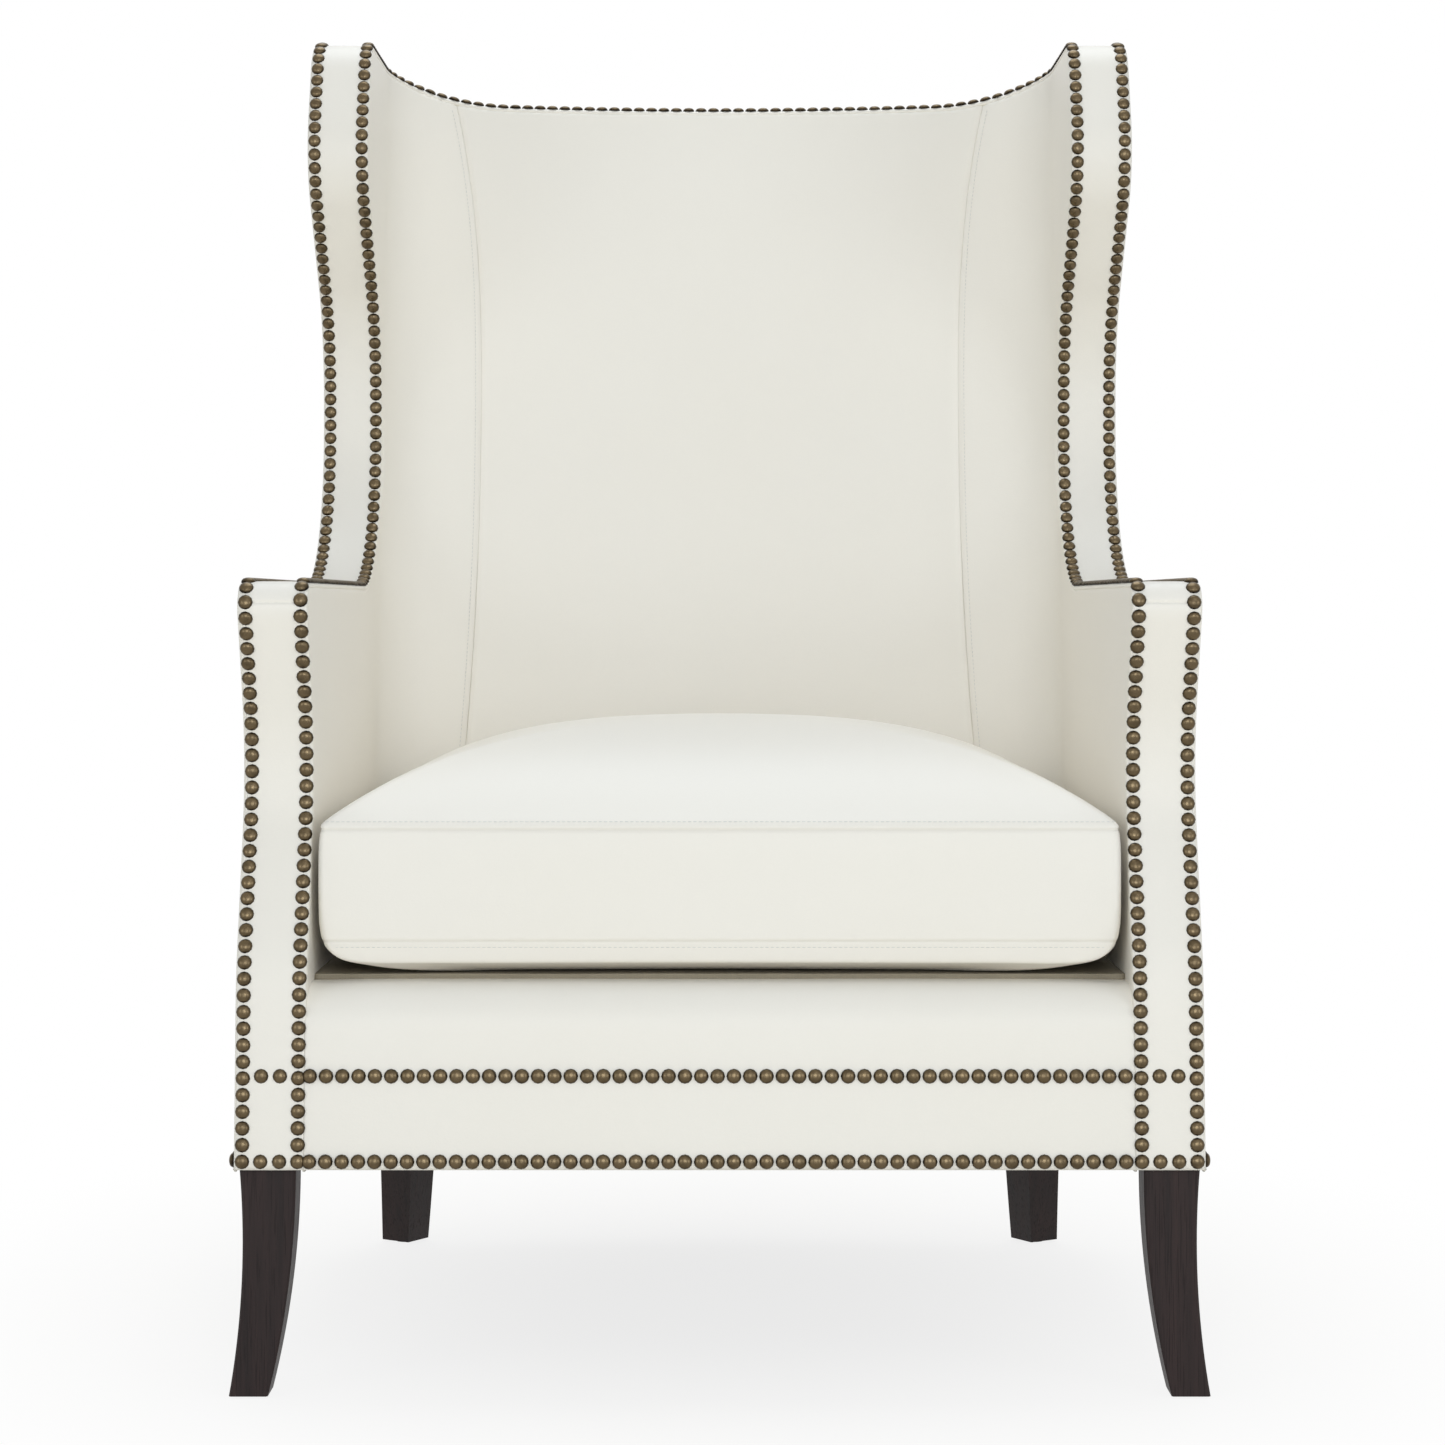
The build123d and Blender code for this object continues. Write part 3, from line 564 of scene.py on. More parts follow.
@dataclass(frozen=True)
class MetalFinish:
    """Worn metal with patchy tarnish, darker also where the rim attribute is high, which is painted shade
    round the nails' rims.
    """

    name: str
    colour: Triple
    tarnish: Triple
    roughness: float

    def build(self) -> bpy.types.Material:
        """Make the material."""
        shader = Shader(self.name)
        here = shader.place()
        cloud = shader.noise(here, 130.0, 3.0)
        fine = shader.noise(here, 900.0, 3.0)
        rim_shade = shader.add("ShaderNodeAttribute", {"attribute_name": "tarnish"}, out="Fac")
        # The rim attribute is painted shade round the nails' rims; the noise adds patchy tarnish.
        tarnish_and_painted_shade = rim_shade * 0.85 + cloud.below(0.42, 0.30) * 0.35 + fine.below(0.40, 0.2) * 0.12
        colour = shader.mix(tarnish_and_painted_shade, self.colour, self.tarnish)
        relief = shader.bump(fine * 0.6 + cloud, 0.18, 0.0005)
        rough = self.roughness + tarnish_and_painted_shade * 0.22
        return shader.dress(Base_Color=colour, Metallic=1.0, Roughness=rough, Normal=relief)


@dataclass(frozen=True)
class ClothFinish:
    """Woven cloth, or felted fibre where the weave is coarse and weak."""

    name: str
    colour: Triple
    pitch: float
    roughness: float = 0.9

    def build(self) -> bpy.types.Material:
        """Make the material."""
        shader = Shader(self.name)
        scale = 2 * math.pi / self.pitch
        waves = []
        for axis in ("X", "Y", "Z"):
            settings = {"wave_type": "BANDS", "bands_direction": axis}
            sockets = {"Vector": shader.place(), "Scale": scale / 20, "Distortion": 0.6, "Detail": 1.0}
            waves.append(shader.add("ShaderNodeTexWave", settings, sockets, out=1))
        weave = waves[0] * waves[1] + waves[2] * 0.5
        mottle = shader.noise(shader.place(), 60.0, 4.0)
        deep = tuple(part * 0.62 for part in self.colour)
        colour = shader.mix(weave * 0.5 + mottle * 0.5, deep, self.colour)
        relief = shader.bump(weave + mottle * 0.4, 0.35, 0.0004)
        return shader.dress(Base_Color=colour, Roughness=self.roughness - mottle * 0.1, Normal=relief)


@dataclass(frozen=True)
class PlasticFinish:
    """Moulded plastic with a fine texture."""

    name: str
    colour: Triple
    roughness: float = 0.55

    def build(self) -> bpy.types.Material:
        """Make the material."""
        shader = Shader(self.name)
        fine = shader.noise(shader.place(), 1200.0, 2.0)
        relief = shader.bump(fine, 0.12, 0.0003)
        worn = tuple(min(1.0, part * 1.25) for part in self.colour)
        colour = shader.mix(fine, self.colour, worn)
        return shader.dress(Base_Color=colour, Roughness=self.roughness + fine * 0.1, Normal=relief)


@dataclass
class Palette:
    """Every finish of the chair, made once."""

    def __post_init__(self) -> None:
        """Make the materials."""
        self.leather = LeatherFinish("ivory_leather").build()
        self.cushion = LeatherFinish("cushion_leather", seams=CUSHION_SEAMS).build()
        espresso = WoodFinish("espresso_wood", (0.007, 0.0036, 0.0033), (0.027, 0.0145, 0.0130), 0.46, 0.04)
        self.legs = espresso.build()
        self.nails = MetalFinish("antique_brass", (0.134, 0.099, 0.056), (0.015, 0.011, 0.007), 0.27).build()
        self.thread = ClothFinish("ivory_thread", (0.86, 0.84, 0.77), 0.0006, 0.7).build()
        self.dust = ClothFinish("black_lining", (0.022, 0.022, 0.024), 0.0014).build()
        self.deck = ClothFinish("deck_cloth", (0.36, 0.31, 0.22), 0.0012).build()
        self.tape = ClothFinish("zip_tape_cloth", (0.74, 0.71, 0.63), 0.0010).build()
        self.by_slot = {
            "leather": self.leather,
            "leg_wood": self.legs,
            "frame_timber": WoodFinish("raw_hardwood", (0.36, 0.23, 0.12), (0.56, 0.40, 0.23), 0.62).build(),
            "hardboard": WoodFinish("hardboard", (0.19, 0.12, 0.07), (0.27, 0.18, 0.11), 0.75).build(),
            "foam": ClothFinish("upholstery_foam", (0.80, 0.74, 0.55), 0.0030).build(),
            "webbing": ClothFinish("elastic_webbing", (0.16, 0.11, 0.06), 0.0022).build(),
            "lining_cloth": self.deck,
            "steel": MetalFinish("plated_steel", (0.55, 0.55, 0.57), (0.25, 0.24, 0.23), 0.34).build(),
            "glide_plastic": PlasticFinish("glide_nylon", (0.020, 0.018, 0.018)).build(),
            "zip_brass": self.nails,
        }


def as_data(mesh: bmesh.types.BMesh, name: str) -> bpy.types.Mesh:
    """Mesh data of a bmesh, which is freed."""
    data = bpy.data.meshes.new(name)
    mesh.to_mesh(data)
    mesh.free()
    return data


def add_object(name: str, data: bpy.types.ID) -> bpy.types.Object:
    """New object of the scene."""
    made = bpy.data.objects.new(name, data)
    bpy.context.scene.collection.objects.link(made)
    return made


def make_piece(
    name: str,
    mesh: bmesh.types.BMesh,
    material: bpy.types.Material,
    slot: str,
    body: str = "chair",
    nodes: Sequence[str] = (),
    thickness: float = 0.0,
    levels: int = 0,
) -> bpy.types.Object:
    """Turn a bmesh into a piece of the chair.

    Args:
        name: The piece's name.
        mesh: Its shape, which is freed.
        material: Its finish.
        slot: The record's material slot; not used.
        body: The body it moves with.
        nodes: The CAD nodes that it stands for.
        thickness: Wall given to a sheet, away from its seen face.
        levels: Levels of subdivision.

    Returns:
        The new object.
    """
    for face in mesh.faces:
        face.smooth = True
    data = as_data(mesh, name)
    piece = add_object(name, data)
    data.materials.append(material)
    if levels:
        finer = piece.modifiers.new("finer", "SUBSURF")
        finer.levels = finer.render_levels = levels
    if thickness:
        wall = piece.modifiers.new("wall", "SOLIDIFY")
        wall.thickness = thickness
        wall.offset = -1.0
    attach(piece, body)
    if nodes:
        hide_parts(*nodes)
    log.info("%s: %d faces", name, len(data.polygons))
    return piece


def make_pair(name: str, mesh: bmesh.types.BMesh, node: str = "", **settings: object) -> None:
    """Make two pieces of a right-hand mesh and its mirror image.

    Args:
        name: The pieces' name without its side.
        mesh: The right-hand shape.
        node: Name without its side of the CAD nodes that they stand for.
        settings: The rest of what make_piece takes.
    """
    for hand, part in {Side.LEFT: mirrored(mesh), Side.RIGHT: mesh}.items():
        nodes = [f"{node}_{hand.word}"] if node else []
        make_piece(f"{name}_{hand.word}", part, nodes=nodes, **settings)


def drape(columns: Sequence[float], rows: Sequence[float], place: Surface) -> bmesh.types.BMesh:
    """Lay a grid over a surface.

    Args:
        columns: Parameters across the grid.
        rows: Parameters up the grid.
        place: Place of the surface at a column and a row.

    Returns:
        The grid, with faces looking along columns x rows.
    """
    mesh = bmesh.new()
    across, up = len(columns) - 1, len(rows) - 1
    bmesh.ops.create_grid(mesh, x_segments=across, y_segments=up, size=1.0)
    for vert in mesh.verts:
        column = columns[round((vert.co.x + 1) / 2 * across)]
        row = rows[round((vert.co.y + 1) / 2 * up)]
        vert.co = place(column, row)
    return mesh


def merge(meshes: Sequence[bmesh.types.BMesh], distance: float = 0.00005) -> bmesh.types.BMesh:
    """Join meshes into the first, with their shared borders welded."""
    whole = meshes[0]
    for other in meshes[1:]:
        data = as_data(other, "part")
        whole.from_mesh(data)
        bpy.data.meshes.remove(data)
    bmesh.ops.remove_doubles(whole, verts=whole.verts, dist=distance)
    return whole


def mirrored(mesh: bmesh.types.BMesh) -> bmesh.types.BMesh:
    """Left-hand copy of a right-hand mesh."""
    other = mesh.copy()
    bmesh.ops.scale(other, vec=(-1, 1, 1), verts=other.verts)
    bmesh.ops.reverse_faces(other, faces=other.faces)
    return other


def fold_under(at: Vector, under: float) -> None:
    """Turn leather that runs past the lower edge back under the body."""
    turned = ease(under / FOLD)
    at.y += 0.0012 * turned + max(0.0, under - FOLD)
    at.z += 0.0004 - 0.0006 * turned


def coons(bottom: Line, top: Line, left: Line, right: Line) -> Surface:
    """Surface parameters inside four border lines.

    Args:
        bottom: Line from left to right, by a share from 0 to 1.
        top: Line from left to right.
        left: Line upwards.
        right: Line upwards.

    Returns:
        The place at a share across and a share up.
    """
    corners = [bottom(0.0), bottom(1.0), top(0.0), top(1.0)]

    def place(u: float, v: float) -> Vector:
        """Place at a share across and a share up."""
        ruled = bottom(u) * (1 - v) + top(u) * v + left(v) * (1 - u) + right(v) * u
        flat = (corners[0] * (1 - u) + corners[1] * u) * (1 - v) + (corners[2] * (1 - u) + corners[3] * u) * v
        return ruled - flat

    return place


@dataclass
class LeatherPanel:
    """One leather panel laid out flat on a face of the shell, as length along the plan and height.

    Attributes:
        plan: The face that it covers.
        fullness: How far the padding lifts its middle.
        tuck: How deep its sewn or tucked borders sink.
        spread: Distance from a border over which the leather rises.
        seam_width: Width over which a sewn border sinks.
        waves: Height of the leather's slight unevenness.
        borders: Flat border lines and how the panel ends there.
    """

    plan: Plan
    fullness: float = 0.0015
    tuck: float = LEATHER
    spread: float = 0.075
    seam_width: float = 0.0032
    waves: float = 0.0007
    borders: list[tuple[Meeting, list[Vector]]] = field(default_factory=list)

    def measure(self) -> None:
        """Get ready to measure distances from the borders."""
        self.trees = {}
        for meeting in (Meeting.RIM, Meeting.SEAM):
            places = [place for kind, line in self.borders if kind is meeting for place in line]
            tree = KDTree(len(places))
            for number, place in enumerate(places):
                tree.insert((place.x, place.y, 0.0), number)
            tree.balance()
            self.trees[meeting] = tree if places else None

    def lift(self, flat: Vector) -> float:
        """Height of the leather over the face at a flat place."""
        away = {}
        for meeting, tree in self.trees.items():
            away[meeting] = tree.find((flat.x, flat.y, 0.0))[2] if tree else 1.0
        nearest = min(away.values())
        rise = self.fullness * ease(nearest / self.spread)
        under = self.tuck * (1 - ease((away[Meeting.RIM] - 0.0028) / 0.0024))
        sewn = self.tuck * math.exp(-((away[Meeting.SEAM] / self.seam_width) ** 2))
        ripple = noise.noise((flat.x * 9.0, flat.y * 6.0, 3.7)) * self.waves
        return rise + ripple * ease(nearest / 0.05) - under - sewn

    def sheet(self, columns: Sequence[float], rows: Sequence[float], layout: Surface) -> bmesh.types.BMesh:
        """Mesh of one patch of the panel."""

        def place(u: float, v: float) -> Vector:
            """Place of the leather at a share across and up."""
            flat = layout(u, v)
            return self.plan.point(flat.x, flat.y, self.lift(flat))

        mesh = drape(columns, rows, place)
        if self.plan.facing < 0:
            bmesh.ops.reverse_faces(mesh, faces=mesh.faces)
        return mesh


@dataclass
class Shell:
    """Leather covers of the arms, wings and back, with the band along their edge.

    Attributes:
        palette: The chair's finishes.
        step: Spacing of the band's rows.
        rounding: Rounding of the band's two arrises.
        crown: Rise of the band between its nail rows.
        thickness: Leather's thickness.
        band_split: Distance from the middle at which side and crest bands meet.
        joint_height: Height of the seam across the band under the arm's nose.
        outside_seam: Distance from the middle of the seam on the outside back.
    """

    palette: Palette
    step: float = 0.0055
    rounding: float = 0.0026
    crown: float = 0.0009
    thickness: float = LEATHER
    band_split: float = 0.290
    joint_height: float = 0.6290
    outside_seam: float = 0.270

    def __post_init__(self) -> None:
        """Set what every cover of the shell shares."""
        self.cover = {"material": self.palette.leather, "slot": "leather", "thickness": self.thickness}

    def inside_seam(self, height: float) -> float:
        """Distance from the middle of the seam between inside back and wing."""
        if height > 0.770:
            return 0.235 + 0.028 * ((height - 0.770) / 0.357) ** 3
        return 0.235 + 0.010 * ((0.770 - max(height, 0.35)) / 0.275) ** 2

    def band_profile(self, width: float) -> list[Point2]:
        """Distances across and heights of the band's section, from the inner face to the outer."""
        rolled = []
        for number in range(5):
            angle = number / 4 * math.pi / 2
            rolled.append((self.rounding * (1 - math.cos(angle)), self.rounding * (math.sin(angle) - 1)))
        edge = [(0.0016, -0.0052), (0.0003, -0.0036), *rolled]
        flat = []
        run = width - 2 * self.rounding
        for number in range(1, 12):
            share = number / 12
            rise = self.crown * (1 - (2 * share - 1) ** 4)
            flat.append((self.rounding + run * share, rise))
        return [*edge, *flat, *[(width - across, height) for across, height in reversed(edge)]]

    def band_strip(self, lengths: Sequence[float]) -> bmesh.types.BMesh:
        """Strip of the band along the edge's lengths."""
        joint = SIDE_EDGE.length_at(self.joint_height, SIDE_EDGE.ends[2], NOSE_END)
        count = len(self.band_profile(0.056))
        sections = {}

        def place(column: float, length: float) -> Vector:
            """Place of the band's section at a length."""
            if length not in sections:
                near, across, out, width = RIM.axes(max(length, 0.0))
                sink = 0.0010 * math.exp(-(((length - joint) / 0.0011) ** 2))
                sections[length] = (near, across, out, self.band_profile(width), sink)
            near, across, out, profile, sink = sections[length]
            sideways, height = profile[round(column)]
            at = near + across * sideways + out * (height - (sink if height > -0.002 else 0.0))
            if length < 0:
                fold_under(at, -length)
            return at

        return drape([float(number) for number in range(count)], lengths, place)

    def lengths(self, start: float, end: float, extra: Sequence[float] = ()) -> list[float]:
        """Evenly spaced lengths with extra ones between."""
        count = math.ceil((end - start) / self.step)
        found = [start + (end - start) * share for share in even(count)]
        return sorted({round(length, 6) for length in [*found, *extra]})

    def build_bands(self) -> None:
        """Side bands and the crest band."""
        joint = SIDE_EDGE.length_at(self.joint_height, SIDE_EDGE.ends[2], NOSE_END)
        near_joint = [joint + shift * MM for shift in (-2.4, -1.5, -0.9, -0.4, 0.0, 0.4, 0.9, 1.5, 2.4)]
        low, high = RIM.ends[1], RIM.length
        for _ in range(40):
            split = (low + high) / 2
            near, far = RIM.pair(split)
            low, high = (split, high) if (near.x + far.x) / 2 > self.band_split else (low, split)
        side = self.band_strip([*UNDER_FOLD, *self.lengths(0.0, split, near_joint)])
        make_pair("band", side, "edge_band", **self.cover)
        half = self.band_strip(self.lengths(split, RIM.length))
        crest = merge([half, mirrored(half)], 0.0003)
        make_piece("band_crest", crest, nodes=["crest_band"], **self.cover)

    def side_panel(self, plan: Plan, bottom: float, seam: Seam, fullness: float) -> bmesh.types.BMesh:
        """Arm and wing panel on one face of the right-hand side.

        Args:
            plan: The face.
            bottom: Height of the panel's lower end.
            seam: Length along the plan of the seam at a height.
            fullness: How far the padding lifts the panel.

        Returns:
            The panel's mesh.
        """
        foot = SIDE_EDGE.length_at(bottom, 0.0, SIDE_EDGE.ends[2])
        seam_top = self.seam_top(plan, seam)

        def edge(length: float) -> Vector:
            """Flat place on the front edge."""
            place = SIDE_EDGE.point(length)
            return Vector((plan.along_side(behind(place.x), place.y), min(place.y, crest_height(plan.half))))

        def edge_line(low: float, high: float) -> Line:
            """Front edge between two lengths."""
            return lambda share: edge(low + (high - low) * share)

        def along(low: Vector, high: Vector) -> Line:
            """Straight line between two flat places."""
            return lambda share: low.lerp(high, share)

        def upright(share: float) -> Vector:
            """Line up the arm panel under the start of the sweep."""
            height = bottom + (ARM_HEIGHT - bottom) * share
            return Vector((plan.along_side(behind(SIDE_EDGE.point(SWEEP_START).x), height), height))

        def seam_line(low: float, high: float) -> Line:
            """Seam between two heights."""
            return lambda share: Vector((seam(low + (high - low) * share), low + (high - low) * share))

        def crest(share: float) -> Vector:
            """Crest line from the ear to the seam."""
            start, end = edge(EAR_END).x, seam_top.x
            place = start + (end - start) * share
            return Vector((place, crest_height(plan.flat(place)[0].x)))

        front, wing = edge_line(foot, NOSE_END), edge_line(SWEEP_START, EAR_END)
        low_seam, high_seam = seam_line(bottom, ARM_HEIGHT), seam_line(ARM_HEIGHT, seam_top.y)
        arm_top = along(edge(NOSE_END), edge(SWEEP_START))
        middle = along(edge(SWEEP_START), high_seam(0.0))
        shares = even(160)
        panel = LeatherPanel(plan, fullness)
        panel.borders = [
            (Meeting.RIM, [line(share) for line in (front, arm_top, wing, crest) for share in shares]),
            (Meeting.SEAM, [line(share) for line in (low_seam, high_seam) for share in shares]),
        ]
        panel.measure()
        arm = coons(along(front(0.0), upright(0.0)), arm_top, front, upright)
        rear = coons(along(upright(0.0), low_seam(0.0)), middle, upright, low_seam)
        head = coons(middle, crest, wing, high_seam)
        first, second = graded(44), graded(30)
        up, over = graded(46), graded(64)
        parts = [panel.sheet(first, up, arm), panel.sheet(second, up, rear), panel.sheet(second, over, head)]
        return merge(parts, 0.0002)

    def seam_top(self, plan: Plan, seam: Seam) -> Vector:
        """Flat place where a seam meets the crest."""
        height = CREST_HEIGHT
        for _ in range(8):
            height = crest_height(plan.flat(seam(height))[0].x)
        return Vector((seam(height), height))

    def back_panel(self, plan: Plan, bottom: float, seam: Seam, fullness: float) -> bmesh.types.BMesh:
        """Back panel between its two seams, on one face, with the same arguments as a side panel."""
        top = self.seam_top(plan, seam)

        def flat(u: float, v: float) -> Vector:
            """Flat place by a share from the right seam to the left and a share up."""
            share = 1 - abs(2 * u - 1)
            edge_height = bottom + (top.y - bottom) * v
            start = seam(edge_height)
            place = start + (plan.middle - start) * share
            height = bottom + (crest_height(plan.flat(place)[0].x) - bottom) * v
            return Vector((place if u <= 0.5 else 2 * plan.middle - place, height))

        shares = even(200)
        panel = LeatherPanel(plan, fullness, spread=0.11)
        panel.borders = [
            (Meeting.RIM, [flat(share, 1.0) for share in shares]),
            (Meeting.SEAM, [flat(end, share) for end in (0.0, 1.0) for share in shares]),
        ]
        panel.measure()
        return panel.sheet(graded(64), graded(72), flat)

    def build_covers(self) -> None:
        """Inside and outside covers."""

        def inside(height: float) -> float:
            """Length along the inner plan of the seam at a height."""
            return INNER.along_back(self.inside_seam(height))

        def outside(_height: float) -> float:
            """Length along the outer plan of the seam, the same at every height."""
            return OUTER.along_back(self.outside_seam)

        for word, plan, bottom, seam, fullness in (
            ("inside", INNER, INSIDE_BOTTOM, inside, 0.0012),
            ("outside", OUTER, LEG_HEIGHT + 0.0002, outside, 0.0008),
        ):
            mesh = self.side_panel(plan, bottom, seam, fullness)
            make_pair(f"{word}_panel", mesh, f"{word}_cover", **self.cover)
            back = self.back_panel(plan, bottom, seam, fullness * 2)
            make_piece(f"{word}_back", back, nodes=[f"{word}_back_cover"], **self.cover)


@dataclass
class SeatFront:
    """Front border with its rolled top, the deck under the cushion and the lining underneath.

    Attributes:
        palette: The chair's finishes.
        roll: Rounding of the border's top edge.
        pressed: How far the cushion presses the edge roll down in front.
        border_depth: Distance behind the front at which border and deck meet.
        thickness: Leather's thickness.
    """

    palette: Palette
    roll: float = 0.036
    pressed: float = 0.0058
    border_depth: float = 0.061
    thickness: float = LEATHER

    def __post_init__(self) -> None:
        """Work out the border's section."""
        slope = KNEE[0] / (KNEE[1] - LEG_HEIGHT)
        top = DECK_HEIGHT - self.pressed
        face = slope * (top - LEG_HEIGHT)
        back = (self.border_depth, top + 0.0006, 0.0)
        self.section = EdgeLine(((0.0, LEG_HEIGHT, 0.0), (face, top, self.roll), back))

    def border(self) -> None:
        """Front border, folded under at its lower edge."""
        total = self.section.ends[-1]
        half = INNER_HALF + 0.0010

        def place(u: float, length: float) -> Vector:
            """Place of the leather at a share across and a length up the section."""
            x = half * (2 * u - 1)
            at = self.section.point(max(length, 0.0))
            ahead = self.section.point(min(max(length, 0.0) + 0.001, total))
            back = self.section.point(max(length - 0.001, 0.0))
            run = (ahead - back).normalized()
            inset = half - abs(x)
            puff = 0.0008 * ease(inset / 0.05) - 0.0002
            puff += 0.0004 * noise.noise((x * 8.0, length * 8.0, 1.3))
            at = Vector((x, behind(at.x) - run.y * puff, at.y + run.x * puff))
            if length < 0:
                fold_under(at, -length)
            return at

        rows = [*UNDER_FOLD, *[total * share for share in even(40)]]
        mesh = drape(graded(80), rows, place)
        nodes = ["front_border_cover", "front_edge_roll"]
        leather = self.palette.leather
        make_piece("front_border", mesh, leather, "leather", nodes=nodes, thickness=self.thickness)

    def back_line(self, plan: Plan, x: float, height: float, inset: float) -> float:
        """Y of a plan's back at a distance from the middle, drawn in by inset."""
        reach = abs(x)
        lean = plan.lean * (height - plan.level)
        run = plan.half - plan.corner
        if reach > plan.bow * math.cos(plan.turn) * (1 - inset / plan.bow):
            radius = plan.corner - inset
            return plan.centre.y + math.sqrt(max(radius**2 - (reach - run) ** 2, 0.0)) + lean
        return plan.bow_y + math.sqrt((plan.bow - inset) ** 2 - reach**2) + lean

    def deck(self) -> None:
        """Deck cloth under the cushion, its dark tan front flap turned down in front of the deck pad as
        painted shade under the cushion's front.
        """
        half = INNER_HALF - 0.0008
        start = behind(self.border_depth - 0.0009)
        shade_flap = 0.012

        def place(u: float, v: float) -> Vector:
            """Place of the cloth at a share across and back."""
            x = half * (2 * u - 1)
            end = self.back_line(INNER, x, DECK_HEIGHT, 0.0008)
            dip = -0.0009 + 0.0003 * noise.noise((x * 12, v * 9, 5.1))
            # The cloth is real; its front flap, turned down into the gap, also stands in for the shade under
            # the cushion's front.
            dip -= (self.pressed + 0.0006) * max(1 - v / shade_flap, 0.0)
            return Vector((x, start + (end - start) * max(v - shade_flap, 0.0) / (1 - shade_flap), DECK_HEIGHT + dip))

        mesh = drape(graded(60, 0.6), [0.0, shade_flap * 0.5, shade_flap * 0.9, shade_flap, *graded(48, 0.6)[2:]], place)
        piece = make_piece(
            "deck_cloth", mesh, self.palette.deck, "lining_cloth", nodes=["deck_cover"], thickness=0.0008
        )

    def lining(self) -> None:
        """Dust lining on the underside, cut round the legs."""
        half = HALF - 0.0045
        start = behind(0.008)
        rear = (0.3035, behind(0.646))
        turn = math.radians(33.0)

        def place(u: float, v: float) -> Vector:
            """Place of the lining at a share across and back."""
            x = half * (2 * u - 1)
            end = self.back_line(OUTER, x, LEG_HEIGHT, 0.0045)
            y = start + (end - start) * v
            sag = 0.004 * (1 - (2 * u - 1) ** 2) * (1 - (2 * v - 1) ** 2)
            return Vector((x, y, LEG_HEIGHT + 0.0012 - sag))

        mesh = drape(graded(48, 0.3), graded(52, 0.3), place)
        bmesh.ops.reverse_faces(mesh, faces=mesh.faces)
        front_x, front_y, room = 0.3338, behind(0.044), 0.023
        cuts = [((side * front_x, 0, 0), (1, 0, 0)) for side in (1, -1)] + [((0, front_y, 0), (0, 1, 0))]
        for side in (1, -1):
            for number in range(4):
                angle = side * turn + number * math.pi / 2
                out = Vector((math.cos(angle), math.sin(angle), 0))
                cuts.append((Vector((side * rear[0], rear[1], 0)) + out * room, out))
        for at, out in cuts:
            geometry = [*mesh.verts, *mesh.edges, *mesh.faces]
            bmesh.ops.bisect_plane(mesh, geom=geometry, plane_co=at, plane_no=out, dist=1e-6)
        gone = []
        for face in mesh.faces:
            middle = face.calc_center_median()
            in_front = abs(middle.x) > front_x and middle.y < front_y
            side = 1 if middle.x > 0 else -1
            local = Matrix.Rotation(-side * turn, 2) @ Vector((middle.x - side * rear[0], middle.y - rear[1]))
            if in_front or max(abs(local.x), abs(local.y)) < room:
                gone.append(face)
        bmesh.ops.delete(mesh, geom=gone, context="FACES")
        area = sum(face.calc_area() for face in mesh.faces)
        piece = make_piece(
            "dust_lining", mesh, self.palette.dust, "lining_cloth", nodes=["dust_cover"], thickness=0.0007
        )

    def build(self) -> None:
        """Make the border, the deck and the lining."""
        self.border()
        self.deck()
        self.lining()


